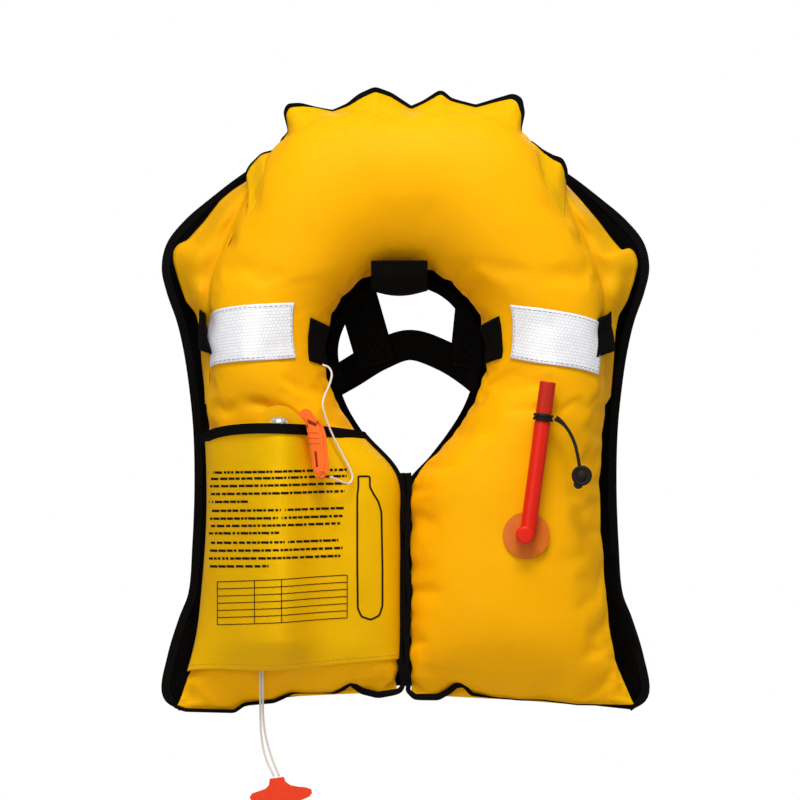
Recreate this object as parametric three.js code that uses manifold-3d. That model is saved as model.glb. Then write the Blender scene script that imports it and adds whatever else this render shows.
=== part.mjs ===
// Inflatable life jacket, shown inflated: a horseshoe air chamber in front of an opened fabric cover,
// a gas inflator under a pocket flap, an oral tube, a whistle and a webbing harness behind.
// Millimetres, +Z up. The wearer faces -Y, so -Y is the front. The frame's origin is the point of the
// hang loop that a peg carries.
import * as THREE from 'three';
import { mergeVertices } from 'three/addons/utils/BufferGeometryUtils.js';
import Module from 'manifold-3d';

const wasm = await Module();
wasm.setup();

const { lerp, smoothstep, degToRad } = THREE.MathUtils;

// ---- driving dimensions ----
const HANG_RISE = 20;          // bearing point of the hang loop above the neck datum
const HANG_BACK = 4;           // and behind the cover's front face
const GAP = 0.4;               // clearance kept between pieces that touch
const MID_Y = -62;             // seam plane of the air chamber
const CLOTH = 1.2;             // coated cloth as modelled
const WEBBING = 2;             // webbing thickness
const COVER = 2.4;             // cover shell thickness
const TAB_WIDTH = 54;          // collar tab, across the neck
const TAB_SHIFT = 6;           // it sits off centre
const BELT_WIDTH = 40;
const BELT_Z = -270;           // middle of the waist belt
const CORD = 2;                // pull cord and lanyard diameter

const PIERCE_X = -120.5;       // axis of the gas bottle and of the inflator head
const NUT_Z = -146;            // manifold stem axis
const CHAMBER_FRONT = -115.2;  // front of the chamber at the inflator
const HEAD_Y = -131;           // mid depth of the inflator head
const LEVER_PIVOT = [-114.5, -168];
const LEVER_ARM = 31;
const LEVER_REST = degToRad(20);

const TUBE_TOP = new THREE.Vector3(135.4, -132, -101.8);
const TUBE_FOOT = new THREE.Vector3(116.1, -132, -246.6);
const TUBE_RADIUS = 7.5;
const MOUTHPIECE_LENGTH = 31;

const COLOURS = {
  yellow: 0xf0ad12, black: 0x0d0a08, reflective: 0xeeeeee, red: 0xd22a10, whistle: 0xfa6a10,
  chrome: 0xc8c8c8, cord: 0xeadfcf, handle: 0xf03c14, plastic: 0x141414, brass: 0xb08a3c,
  bottle: 0x9a9c9e, flange: 0xd8742a, green: 0x2f9a3c,
};

// ---- materials and helpers ----
const jacket = new THREE.Group();
jacket.position.set(0, -HANG_BACK, -HANG_RISE);

function add(name, geometry, colour, roughness = 0.6, metalness = 0) {
  const material = new THREE.MeshStandardMaterial({ color: COLOURS[colour], roughness, metalness });
  const mesh = new THREE.Mesh(geometry, material);
  mesh.name = name;
  jacket.add(mesh);
  return mesh;
}

function toSolid(geometry) {
  const bare = geometry.clone();
  bare.deleteAttribute('normal');
  bare.deleteAttribute('uv');
  const merged = mergeVertices(bare, 1e-4);
  return new wasm.Manifold(new wasm.Mesh({
    numProp: 3,
    vertProperties: new Float32Array(merged.attributes.position.array),
    triVerts: new Uint32Array(merged.index.array),
  }));
}

function toGeometry(solid) {
  const mesh = solid.getMesh();
  const geometry = new THREE.BufferGeometry();
  geometry.setAttribute('position', new THREE.BufferAttribute(new Float32Array(mesh.vertProperties), 3));
  geometry.setIndex(new THREE.BufferAttribute(new Uint32Array(mesh.triVerts), 1));
  return geometry;
}

const join = (...parts) => toGeometry(parts.map(toSolid).reduce((sum, part) => sum.add(part)));
const cut = (part, ...tools) => toGeometry(tools.map(toSolid).reduce((rest, tool) => rest.subtract(tool),
  toSolid(part)));

function block(x0, x1, y0, y1, z0, z1) {
  return new THREE.BoxGeometry(x1 - x0, y1 - y0, z1 - z0)
    .translate((x0 + x1) / 2, (y0 + y1) / 2, (z0 + z1) / 2);
}

// A flat outline of [x, z] points, as a slab between two depths.
function slab(outline, y0, y1, holes = []) {
  const shape = new THREE.Shape(outline.map(([x, z]) => new THREE.Vector2(x, z)));
  holes.forEach(hole => shape.holes.push(new THREE.Path(hole.map(([x, z]) => new THREE.Vector2(x, z)))));
  return new THREE.ExtrudeGeometry(shape, { depth: y1 - y0, bevelEnabled: false, curveSegments: 10 })
    .rotateX(Math.PI / 2).translate(0, y1, 0);
}

// A turned piece: [radius, height] profile about an axis from foot, pointing along direction.
function turned(profile, foot, direction, segments = 16) {
  const points = profile.map(([radius, height]) => new THREE.Vector2(radius, height));
  const turn = new THREE.Quaternion()
    .setFromUnitVectors(new THREE.Vector3(0, 1, 0), direction.clone().normalize());
  return new THREE.LatheGeometry(points, segments).applyQuaternion(turn).translate(foot.x, foot.y, foot.z);
}

const FORWARD = new THREE.Vector3(0, -1, 0);
const UP = new THREE.Vector3(0, 0, 1);
const DOWN = new THREE.Vector3(0, 0, -1);
const at = (x, y, z) => new THREE.Vector3(x, y, z);

const pipe = (outer, inner, h0, h1) => [[inner, h0], [outer, h0], [outer, h1], [inner, h1], [inner, h0]];
const rod = (radius, h0, h1) => [[0, h0], [radius, h0], [radius, h1], [0, h1]];

// Points at a distance to the left of an open run of [a, b] points.
function offset(points, distance) {
  return points.map((point, index) => {
    const before = points[Math.max(index - 1, 0)];
    const after = points[Math.min(index + 1, points.length - 1)];
    const run = new THREE.Vector2(after[0] - before[0], after[1] - before[1]).normalize();
    return [point[0] - run.y * distance, point[1] + run.x * distance];
  });
}

function smooth(points, count) {
  const curve = new THREE.CatmullRomCurve3(points.map(([a, b]) => at(a, b, 0)), false, 'centripetal');
  return curve.getSpacedPoints(count).map(point => [point.x, point.y]);
}

const ribbon = (points, left, right) => [...offset(points, left), ...offset(points, right).reverse()];
const mirror = points => points.map(([x, z]) => [-x, z]).reverse();

// A strap standing on edge: a run of [x, y] points seen from above, raised between two heights.
function standingStrap(points, thickness, z0, z1) {
  const outline = ribbon(points, thickness / 2, -thickness / 2);
  const shape = new THREE.Shape(outline.map(([x, y]) => new THREE.Vector2(x, y)));
  return new THREE.ExtrudeGeometry(shape, { depth: z1 - z0, bevelEnabled: false }).translate(0, 0, z0);
}

// A strap lying flat to the wearer's back: a side run of [y, z] points, width across, turned in its plane.
function hangingStrap(points, width, tilt, x, z) {
  const outline = ribbon(points, WEBBING / 2, -WEBBING / 2);
  const shape = new THREE.Shape(outline.map(([y, height]) => new THREE.Vector2(y, height)));
  return new THREE.ExtrudeGeometry(shape, { depth: width, bevelEnabled: false })
    .translate(0, 0, -width / 2)
    .applyMatrix4(new THREE.Matrix4().makeBasis(at(0, 1, 0), at(0, 0, 1), at(1, 0, 0)))
    .rotateY(tilt).translate(x, 0, z);
}

function cordTube(points, diameter, spacing) {
  const route = new THREE.CatmullRomCurve3(points.map(point => at(...point)), false, 'centripetal');
  const section = new THREE.Shape();
  const sides = 8;
  for (let side = 0; side < sides; side += 1) {
    const angle = side / sides * 2 * Math.PI;
    const corner = [diameter / 2 * Math.cos(angle), diameter / 2 * Math.sin(angle)];
    if (side === 0) section.moveTo(...corner); else section.lineTo(...corner);
  }
  section.closePath();
  const steps = Math.round(route.getLength() / spacing);
  return new THREE.ExtrudeGeometry(section, { steps, extrudePath: route, bevelEnabled: false });
}

// A closed skin between a front grid and a back grid of the same size.
function sheetSolid(front, back) {
  const rows = front.length;
  const columns = front[0].length;
  const positions = [...front.flat(), ...back.flat()].flatMap(point => [point.x, point.y, point.z]);
  const index = [];
  const id = (side, row, column) => side * rows * columns + row * columns + column;
  const quad = (a, b, c, d) => index.push(a, b, c, a, c, d);
  for (let row = 0; row + 1 < rows; row += 1) {
    for (let column = 0; column + 1 < columns; column += 1) {
      quad(id(0, row, column), id(0, row, column + 1), id(0, row + 1, column + 1), id(0, row + 1, column));
      quad(id(1, row, column), id(1, row + 1, column), id(1, row + 1, column + 1), id(1, row, column + 1));
    }
    quad(id(0, row, 0), id(0, row + 1, 0), id(1, row + 1, 0), id(1, row, 0));
    const last = columns - 1;
    quad(id(1, row, last), id(1, row + 1, last), id(0, row + 1, last), id(0, row, last));
  }
  for (let column = 0; column + 1 < columns; column += 1) {
    quad(id(1, 0, column), id(1, 0, column + 1), id(0, 0, column + 1), id(0, 0, column));
    const last = rows - 1;
    quad(id(0, last, column), id(0, last, column + 1), id(1, last, column + 1), id(1, last, column));
  }
  const geometry = new THREE.BufferGeometry();
  geometry.setAttribute('position', new THREE.Float32BufferAttribute(positions, 3));
  geometry.setIndex(index);
  return signedVolume(geometry) < 0 ? flipped(geometry) : geometry;
}

function signedVolume(geometry) {
  const position = geometry.attributes.position;
  const corner = [at(0, 0, 0), at(0, 0, 0), at(0, 0, 0)];
  let sum = 0;
  for (let start = 0; start < geometry.index.count; start += 3) {
    corner.forEach((point, k) => point.fromBufferAttribute(position, geometry.index.getX(start + k)));
    sum += corner[0].dot(corner[1].clone().cross(corner[2]));
  }
  return sum;
}

function flipped(geometry) {
  const order = Array.from(geometry.index.array);
  for (let start = 0; start < order.length; start += 3) {
    [order[start], order[start + 1]] = [order[start + 1], order[start]];
  }
  return geometry.setIndex(order);
}

// ---- air chamber: a swept pillow tube, from the foot of one lobe round the neck to the other ----
// Stations on one side: inner edge [x, z], outer edge [x, z], half thickness.
const STATIONS = [
  [[10, -398], [216, -413], 4],
  [[9, -388], [209, -386], 28],
  [[8, -350], [198, -346], 50],
  [[8, -300], [192, -295], 58],
  [[8, -240], [188, -236], 60],
  [[11, -192], [188, -182], 60],
  [[46, -150], [191, -130], 59],
  [[70, -108], [192, -85], 57],
  [[76, -72], [190, -45], 56],
  [[68, -38], [184, 0], 56],
  [[50, -14], [160, 67], 57],
  [[28, 1], [115, 144], 58],
  [[12, 7], [60, 160], 58],
];
const CROWN = [[0, 8], [0, 162], 58];
const POCKET_PRESS = 8;         // the packed inflator presses the chamber's front back on that side
const LAST = STATIONS.length;   // station number of the crown

// The left lobe runs from u = 0, the crown is u = 0.5 and the right lobe ends at u = 1.
const left = STATIONS.map(([inner, outer, half], index) => {
  const pressed = index >= 2 && index <= 6 ? POCKET_PRESS : 0;
  return [[-inner[0], inner[1]], [-outer[0], outer[1]], half - pressed];
});
const loop = [...left, CROWN, ...[...STATIONS].reverse()];
const innerEdge = new THREE.CatmullRomCurve3(loop.map(([inner]) => at(inner[0], 0, inner[1])));
const outerEdge = new THREE.CatmullRomCurve3(loop.map(([, outer, half]) => at(outer[0], half, outer[1])));
const station = number => number / (2 * LAST);

// angle 0 is the outer seam, 90 degrees the front and 180 degrees the inner seam.
function chamberPoint(u, angle, lift) {
  const inner = innerEdge.getPoint(u);
  const outer = outerEdge.getPoint(u);
  const depth = outer.y + lift;
  outer.y = 0;
  const across = outer.clone().sub(inner).multiplyScalar(0.5);
  const reach = (across.length() + lift) * Math.cos(angle);
  const point = inner.add(across).add(across.normalize().multiplyScalar(reach));
  point.y = MID_Y - depth * Math.sin(angle);
  return point;
}

function chamber() {
  const rings = 56;
  const sides = 16;
  const positions = [];
  const index = [];
  for (let ring = 0; ring <= rings; ring += 1) {
    for (let side = 0; side < sides; side += 1) {
      const point = chamberPoint(ring / rings, side / sides * 2 * Math.PI, 0);
      positions.push(point.x, point.y, point.z);
    }
  }
  for (let ring = 0; ring < rings; ring += 1) {
    for (let side = 0; side < sides; side += 1) {
      const next = (side + 1) % sides;
      const [a, b] = [ring * sides + side, ring * sides + next];
      index.push(a, b, b + sides, a, b + sides, a + sides);
    }
  }
  for (let side = 1; side + 1 < sides; side += 1) {
    index.push(0, side + 1, side);
    index.push(rings * sides, rings * sides + side, rings * sides + side + 1);
  }
  const geometry = new THREE.BufferGeometry();
  geometry.setAttribute('position', new THREE.Float32BufferAttribute(positions, 3));
  geometry.setIndex(index);
  return signedVolume(geometry) < 0 ? flipped(geometry) : geometry;
}

// A piece that lies on the chamber: station runs at both ends of the angle range, and a push forward.
function laid({ from, to, angles, lift, thickness, rows, columns, push = () => 0, rise = () => 0 }) {
  const grid = extra => Array.from({ length: rows + 1 }, (_, row) =>
    Array.from({ length: columns + 1 }, (_, column) => {
      const across = column / columns;
      const angle = degToRad(lerp(angles[0], angles[1], across));
      const start = lerp(from[0], from[1], across);
      const end = lerp(to[0], to[1], across);
      const number = lerp(start, end, row / rows) + rise(across, row / rows);
      const point = chamberPoint(station(number), angle, lift + extra);
      point.y -= push(point);
      return point;
    }));
  return sheetSolid(grid(thickness), grid(0));
}

const rightOf = number => 2 * LAST - number;

add('bladder', chamber(), 'yellow', 0.45);

// Flat cloth shoulders outside the tube, between its crease and the cover.
const SHOULDER_EDGE = [[197, -42], [211, -24], [218, -5], [223, 14], [205, 33], [189, 53], [173, 72],
  [157, 92], [146, 106]];
function shoulder(sign) {
  const seam = [8.1, 8.6, 9.1, 9.6, 10, 10.35].map(number => {
    const point = outerEdge.getPoint(station(number));
    return [-point.x + 1.5, point.z];
  });
  const outline = [...SHOULDER_EDGE, ...seam.reverse()];
  return slab(sign > 0 ? outline : mirror(outline), -34, -30);
}
add('shoulder_left', shoulder(-1), 'yellow', 0.5);
add('shoulder_right', shoulder(1), 'yellow', 0.5);

// ---- cover: three black panels behind the chamber, and its bindings ----
const COVER_EDGE = [[156, 100], [166, 88], [188, 71], [209, 52], [224, 34], [230.5, 14], [229, -5],
  [222, -24], [211, -62], [205, -100], [200, -140], [199, -195], [202, -258], [206, -310], [216, -333],
  [225, -368], [231, -398], [227, -415]];
const COVER_FOOT = [[213, -416], [165, -416], [140, -410], [108, -400], [70, -400], [55, -391],
  [28, -401], [8, -396]];
const NECK_EDGE = [[3, -199], [40, -152], [63, -110], [69, -74], [61, -41], [45, -21]];
const COLLAR_NECK = [[45, -21], [25, -8], [0, -2]];

function coverPanel(sign) {
  const outline = [...COVER_EDGE, ...COVER_FOOT, [2, -392], ...NECK_EDGE];
  return slab(sign > 0 ? outline : mirror(outline), 0, COVER);
}
function coverCollar() {
  const half = [...COLLAR_NECK].reverse();
  const outer = [[154.5, 101.5], [112, 136], [60, 152], [0, 154]];
  const rightHalf = [...half.slice(0, -1), [44, -19.5], ...outer];
  return slab([...rightHalf, ...mirror(rightHalf).slice(1, -1)], 0, COVER);
}
add('cover_left', coverPanel(-1), 'black', 0.8);
add('cover_right', coverPanel(1), 'black', 0.8);
add('cover_collar', coverCollar(), 'black', 0.8);

const BINDING_FRONT = -3.2;
const neckRun = smooth([...NECK_EDGE, ...COLLAR_NECK.slice(1)], 16);
const neckTape = ribbon([...neckRun, ...mirror(neckRun).slice(1)], -9, 0);
const sideTape = ribbon(smooth(COVER_EDGE, 22), 0, -8);
add('neck_binding', slab(neckTape, BINDING_FRONT, -GAP), 'black', 0.7);
add('edge_binding_right', slab(sideTape, BINDING_FRONT, -GAP), 'black', 0.7);
add('edge_binding_left', slab(mirror(sideTape), BINDING_FRONT, -GAP), 'black', 0.7);

// Tape on the two meeting front edges, at the seam plane of the chamber.
function frontBinding(sign) {
  const run = [[3.4, -196], [3.4, -250], [3.9, -300], [3.9, -350], [3.9, -384]];
  const outline = ribbon(run, 2.9, -2.9);
  return slab(sign > 0 ? outline : mirror(outline), MID_Y - 4, MID_Y + 4);
}
add('front_binding_left', frontBinding(-1), 'black', 0.7);
add('front_binding_right', frontBinding(1), 'black', 0.7);

// Tape round the crown of the chamber, rising in points where the seam puckers.
function crownBinding() {
  const count = 32;
  const run = Array.from({ length: count + 1 }, (_, step) => {
    const point = outerEdge.getPoint(station(lerp(11, rightOf(11), step / count)));
    const pucker = 5 * Math.abs(Math.cos(step / count * 4 * Math.PI));
    return [point.x, point.z + 1 + pucker];
  });
  return slab(ribbon(run, 6.5, 0.5), MID_Y - 2, MID_Y + 2);
}
add('crown_binding', crownBinding(), 'black', 0.7);

// ---- bands that hold the chamber to the cover, and the reflective tape ----
// Each runs from the front of the inner edge, round the back, to the front of the outer edge.
const BAND_START = -218;
const TAPE_GAP = 2;             // degrees left between a band's end and the reflective tape
const LEFT_TAPE = { from: [6.94, 7.62], to: [8.08, 8.98], angles: [16, 113] };
const RIGHT_TAPE = { from: [6.8, 7.65], to: [7.98, 8.98], angles: [28, 121] };
function retainingBand(from, to, tape, side) {
  return laid({ from: from.map(side), to: to.map(side), angles: [BAND_START, tape.angles[0] - TAPE_GAP],
    lift: 0.8, thickness: WEBBING, rows: 3, columns: 24 });
}
const same = number => number;
add('retaining_band_left', retainingBand([7.63, 7.28], [8.74, 8.19], LEFT_TAPE, same), 'black', 0.75);
add('retaining_band_right', retainingBand([7.71, 7.21], [8.79, 8.11], RIGHT_TAPE, rightOf), 'black', 0.75);

function collarTab() {
  const run = smooth([[-99, 12], [-93, -3], [-78, -13], [-50, -16], [-20, -14.5], [-5, -10]], 14);
  const outline = ribbon(run, 0.8, -0.8);
  const shape = new THREE.Shape(outline.map(([y, z]) => new THREE.Vector2(y, z)));
  return new THREE.ExtrudeGeometry(shape, { depth: TAB_WIDTH, bevelEnabled: false })
    .applyMatrix4(new THREE.Matrix4().makeBasis(at(0, 1, 0), at(0, 0, 1), at(1, 0, 0)))
    .translate(-TAB_WIDTH / 2 - TAB_SHIFT, 0, 0);
}
add('collar_tab', collarTab(), 'black', 0.75);

function reflectiveTape({ from, to, angles }, side) {
  return laid({ from: from.map(side), to: to.map(side), angles, lift: 0.8, thickness: 0.8,
    rows: 3, columns: 10 });
}
add('reflective_tape_left', reflectiveTape(LEFT_TAPE, same), 'reflective', 0.35);
add('reflective_tape_right', reflectiveTape(RIGHT_TAPE, rightOf), 'reflective', 0.35);

// ---- pocket flap over the inflator ----
const BULGE = 43;
const BULGE_OUTWARD = 45;
const BULGE_INWARD = 27;
const BULGE_FOOT = 9;
function pocketBulge(point) {
  const fade = smoothstep(point.z, -394, -346);
  const height = lerp(BULGE_FOOT, BULGE, fade);
  const width = point.x < PIERCE_X ? BULGE_OUTWARD : BULGE_INWARD;
  return height * Math.exp(-(((point.x - PIERCE_X) / width) ** 2));
}
const FLAP_ANGLES = [3, 171];
const FLAP_TOP = [5.53, 6];
const FLAP_ARCH = 0.15;         // the top edge rises in the middle, as a share of a station
const arch = across => FLAP_ARCH * Math.sin(Math.PI * across);
const FLAP_LIFT = 2;
const BINDING_LIFT = FLAP_LIFT + 2 * CLOTH + 0.2;
add('inflator_flap', laid({ from: [1.2, 1.55], to: FLAP_TOP, angles: FLAP_ANGLES, lift: FLAP_LIFT,
  thickness: CLOTH, rows: 13, columns: 20, push: pocketBulge,
  rise: (across, share) => arch(across) * share ** 4 }), 'yellow', 0.45);
add('flap_binding', laid({ from: [5.31, 5.78], to: FLAP_TOP, angles: FLAP_ANGLES, lift: BINDING_LIFT,
  thickness: 1, rows: 1, columns: 20, push: pocketBulge, rise: arch }), 'black', 0.7);

// ---- gas inflator: manifold on the chamber, head, nut, bottle, lever and piercing pin ----
const HEAD_FRONT = -143;
const HEAD_BACK = -119.3;
const HEAD_HALF = 13;
const HEAD_FOOT = -210;
const SLOT_HALF = 3.5;
const SLOT_FOOT = -190;
const SOCKET_TOP = -194;
const BOTTLE_TOP = -197.5;
const BOTTLE_LENGTH = 138;
const BOTTLE_RADIUS = 16.5;
const STEM_AXIS = at(PIERCE_X, 0, NUT_Z);

function alongStem(profile, segments = 20) {
  return turned(profile, STEM_AXIS, FORWARD, segments);
}
add('manifold_flange', alongStem(rod(22, -CHAMBER_FRONT, -CHAMBER_FRONT + 2), 28), 'flange', 0.5);
add('manifold_stem', alongStem(rod(7, -CHAMBER_FRONT + 2 + GAP, 149.4)), 'brass', 0.3, 1);
add('gasket_rear', alongStem(pipe(10, 7.5, -CHAMBER_FRONT + 2 + GAP, -HEAD_BACK - GAP)), 'plastic', 0.8);
add('gasket_front', alongStem(pipe(10, 7.5, -HEAD_FRONT + GAP, -HEAD_FRONT + 1.4)), 'plastic', 0.8);

// The nut's rim is fluted for the fingers.
function capNut() {
  const flutes = 18;
  const outline = Array.from({ length: flutes * 4 }, (_, step) => {
    const radius = 10.6 + 0.5 * Math.cos(step * Math.PI / 2);
    const angle = step / (flutes * 4) * 2 * Math.PI;
    return [PIERCE_X + radius * Math.cos(angle), NUT_Z + radius * Math.sin(angle)];
  });
  const rim = slab(outline, -150.6, HEAD_FRONT - 1.4 - GAP);
  const dome = alongStem([[0, 150], [8.6, 150], [8.6, 151.2], [6, 152.2], [0, 152.6]]);
  return cut(join(rim, dome), alongStem(rod(7.5, 140, 149.8)));
}
add('cap_nut', capNut(), 'chrome', 0.15, 1);

function inflatorHead() {
  const barrel = alongStem(rod(10.4, -HEAD_BACK, -HEAD_FRONT));
  const box = block(PIERCE_X - HEAD_HALF, PIERCE_X + HEAD_HALF, HEAD_FRONT, HEAD_BACK, HEAD_FOOT, -153);
  const collar = turned(rod(11.5, 0, 12), at(PIERCE_X, HEAD_Y, HEAD_FOOT - 2), UP, 20);
  const bore = alongStem(rod(7.5, 100, 160));
  const slotEnd = PIERCE_X + HEAD_HALF - 1.5;
  const slot = block(-160, slotEnd, HEAD_Y - SLOT_HALF, HEAD_Y + SLOT_HALF, SLOT_FOOT, -155.5);
  const pinBore = turned(rod(2, 0, 10), at(PIERCE_X, HEAD_Y, SOCKET_TOP - 1), UP, 12);
  const socket = turned(rod(7.5, -20, 0), at(PIERCE_X, HEAD_Y, SOCKET_TOP), UP, 20);
  const axle = turned(rod(2, -30, 30), at(LEVER_PIVOT[0], HEAD_Y, LEVER_PIVOT[1]), FORWARD, 12);
  return cut(join(barrel, box, collar), bore, slot, pinBore, socket, axle);
}
add('inflator_head', inflatorHead(), 'plastic', 0.5);

add('gas_bottle', turned([[0, -BOTTLE_LENGTH], [10, -BOTTLE_LENGTH], [15, -BOTTLE_LENGTH + 3],
  [BOTTLE_RADIUS, -BOTTLE_LENGTH + 9], [BOTTLE_RADIUS, -34], [14, -26], [9, -20], [7, -16], [7, 0], [2.6, 0],
  [2.6, -9.5], [0, -9.5]], at(PIERCE_X, HEAD_Y, BOTTLE_TOP), UP, 20), 'bottle', 0.35, 1);

const leverTip = [LEVER_PIVOT[0] - LEVER_ARM * Math.cos(LEVER_REST),
  LEVER_PIVOT[1] + LEVER_ARM * Math.sin(LEVER_REST)];
function lever() {
  const hub = turned(rod(4.6, -2.5, 2.5), at(LEVER_PIVOT[0], HEAD_Y, LEVER_PIVOT[1]), FORWARD, 16);
  const eye = turned(rod(4.4, -2.5, 2.5), at(leverTip[0], HEAD_Y, leverTip[1]), FORWARD, 16);
  const arm = slab(ribbon([LEVER_PIVOT, leverTip], 3, -3), HEAD_Y - 2.5, HEAD_Y + 2.5);
  const holes = [LEVER_PIVOT, leverTip].map(([x, z]) =>
    turned(rod(2, -5, 5), at(x, HEAD_Y, z), FORWARD, 12));
  return cut(join(hub, eye, arm), ...holes);
}
add('lever', lever(), 'plastic', 0.5);
const pivotPlace = at(LEVER_PIVOT[0], HEAD_Y, LEVER_PIVOT[1]);
add('lever_pin', turned(rod(1.6, -11.5, 11.5), pivotPlace, FORWARD, 12), 'chrome', 0.3, 1);

const PIN_TOP = -171.8;
const PIN_TIP = -196;
add('piercing_pin', turned([[0, PIN_TIP], [1.5, PIN_TIP + 3], [1.5, PIN_TOP - 1.5], [2.7, PIN_TOP - 1.5],
  [2.7, PIN_TOP], [0, PIN_TOP]], at(PIERCE_X, HEAD_Y, 0), UP, 12), 'chrome', 0.3, 1);
function pinSpring() {
  const [foot, top, turns, wire, radius] = [SLOT_FOOT + 0.8, PIN_TOP - 2.4, 5, 0.4, 2.5];
  const points = Array.from({ length: turns * 10 + 1 }, (_, step) => {
    const angle = step / 10 * 2 * Math.PI;
    return [PIERCE_X + radius * Math.cos(angle), HEAD_Y + radius * Math.sin(angle),
      lerp(foot, top, step / (turns * 10))];
  });
  const route = new THREE.CatmullRomCurve3(points.map(point => at(...point)));
  const section = new THREE.Shape([0, 1, 2, 3, 4].map(side => new THREE.Vector2(
    wire * Math.cos(side / 5 * 2 * Math.PI), wire * Math.sin(side / 5 * 2 * Math.PI))));
  return new THREE.ExtrudeGeometry(section, { steps: turns * 10, extrudePath: route, bevelEnabled: false });
}
add('pin_spring', pinSpring(), 'chrome', 0.3, 1);

// ---- pull cord, doubled, and its handle ----
const HANDLE = { x: -123, y: -93, top: -479.2, thickness: 9 };
const CORD_DROP = 6;            // the cord's knot hangs this far under the lever's eye
function pullCord(side) {
  const spread = side * (CORD / 2 + 0.3);
  return cordTube([[leverTip[0] + spread, HEAD_Y, leverTip[1] - CORD_DROP], [-141.3 + spread, HEAD_Y, -185],
    [-141.3 + spread, -130, -260], [-140.6 + spread, -120, -322], [-139 + spread, -106, -352],
    [-137.6 + spread, -93.5, -384], [-137.3 + spread, -92, -420], [-136 + 1.5 * spread, -92, -438],
    [-131 + 2.2 * spread, -92.5, -460], [HANDLE.x + 1.9 * spread, HANDLE.y, HANDLE.top + GAP]], CORD, 8.5);
}
add('pull_cord_outer', pullCord(-1), 'cord', 0.7);
add('pull_cord_inner', pullCord(1), 'cord', 0.7);

// A bent bar with a stem, moulded flat.
const HANDLE_OUTLINE = [[-129.6, -481], [-116.2, -479.2], [-114.7, -483.8], [-109.9, -487.2], [-102.2, -488.6],
  [-95.5, -489.1], [-90.2, -491], [-89.3, -494.4], [-91.7, -497.8], [-99.4, -501.1], [-109, -504.5],
  [-117.6, -506.9], [-130, -507.4], [-141.6, -504.5], [-147.4, -501.6], [-148.8, -498.2], [-146.4, -494.9],
  [-140.6, -493], [-133.9, -490.6], [-130.6, -487.2]];
function pullHandle() {
  return slab(HANDLE_OUTLINE, HANDLE.y - HANDLE.thickness / 2, HANDLE.y + HANDLE.thickness / 2);
}
add('pull_handle', pullHandle(), 'handle', 0.4);

// ---- oral tube with its mouth valve and tethered dust cap ----
const tubeRun = TUBE_TOP.clone().sub(TUBE_FOOT);
const tubeUp = tubeRun.clone().normalize();
const TUBE_LENGTH = tubeRun.length();
const alongTube = (profile, segments = 16) => turned(profile, TUBE_FOOT, tubeUp, segments);
const MOUTH_START = TUBE_LENGTH - MOUTHPIECE_LENGTH;
const RING_HEIGHT = 7;
const ELBOW_RADIUS = 8;

add('tube_flange', turned(rod(22, 0, 1.6), at(114.7, -122.4, -248.4), FORWARD, 28), 'flange', 0.5);
function elbow() {
  const ball = new THREE.SphereGeometry(ELBOW_RADIUS, 16, 10)
    .translate(TUBE_FOOT.x, TUBE_FOOT.y, TUBE_FOOT.z);
  const neck = turned(rod(5.5, 0, 8), at(TUBE_FOOT.x, -124.5, TUBE_FOOT.z), FORWARD, 16);
  return join(ball, neck);
}
add('tube_elbow', elbow(), 'red', 0.45);
const RING_FOOT = MOUTH_START - RING_HEIGHT;
const fromMouth = profile => profile.map(([radius, height]) => [radius, TUBE_LENGTH + height]);
add('oral_tube', alongTube(pipe(TUBE_RADIUS, 4.5, ELBOW_RADIUS + GAP, RING_FOOT - GAP)), 'red', 0.45);
add('mouthpiece', alongTube([[4.5, RING_FOOT], [6.4, RING_FOOT], [6.4, MOUTH_START + GAP],
  [7.7, MOUTH_START + GAP], ...fromMouth([[7.7, -1], [7, 0], [5.6, 0], [5.6, -12], [3.4, -14], [3.4, -20],
    [4.5, -22]]), [4.5, RING_FOOT]]), 'red', 0.4);
add('mouth_valve', alongTube(fromMouth([[0, -30], [4, -30], [4, -27], [2.2, -25], [2.2, -7], [4.6, -5.5],
  [4.6, -2.5], [0, -2.5]])), 'red', 0.5);

const CAP = at(167.5, -132, -191);
function capTether() {
  const ring = alongTube(pipe(9.6, 6.8, RING_FOOT + GAP, MOUTH_START));
  const strap = cordTube([[139, -132, -134.5], [151.2, -132, -145], [158.5, -132, -158.4],
    [163.2, -132, -172], [165.4, -132, -180.6]], 3.2, 6);
  return join(ring, strap);
}
add('cap_tether', capTether(), 'plastic', 0.7);
add('dust_cap', turned([[0, 2.6], [8.1, 2.6], [8.1, -5], [9.6, -5], [9.6, 4], [8.8, 5], [0, 5]], CAP,
  FORWARD, 20), 'plastic', 0.7);

// ---- whistle, hooked over the flap by its own clip, and its lanyard ----
const WHISTLE_FRONT = -146.8;
const WHISTLE_BACK = -133.8;
function whistle() {
  const outline = [[-102.2, -132.5], [-98, -128.5], [-94.6, -127], [-90, -129.5], [-85, -137], [-78.4, -144],
    [-75.4, -152.6], [-72.6, -181.4], [-74.5, -190], [-79, -195.5], [-84.5, -193], [-88, -183], [-92, -156],
    [-94.5, -143], [-98.5, -136.5]];
  const body = slab(outline, WHISTLE_FRONT, WHISTLE_BACK);
  const slot = block(-94, -80, WHISTLE_FRONT - 1, WHISTLE_FRONT + 7, -145.5, -139.5);
  const eye = turned(rod(1.7, -30, 30), at(-79.5, -140, -189.5), FORWARD, 10);
  const bridge = block(-94, -88, WHISTLE_BACK - 2, -117.2, -140.5, -137.5);
  const tongue = block(-94, -88, -118.6, -117.2, -168, -137.5);
  return join(cut(body, slot, eye), bridge, tongue);
}
add('whistle', whistle(), 'whistle', 0.35);
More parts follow.
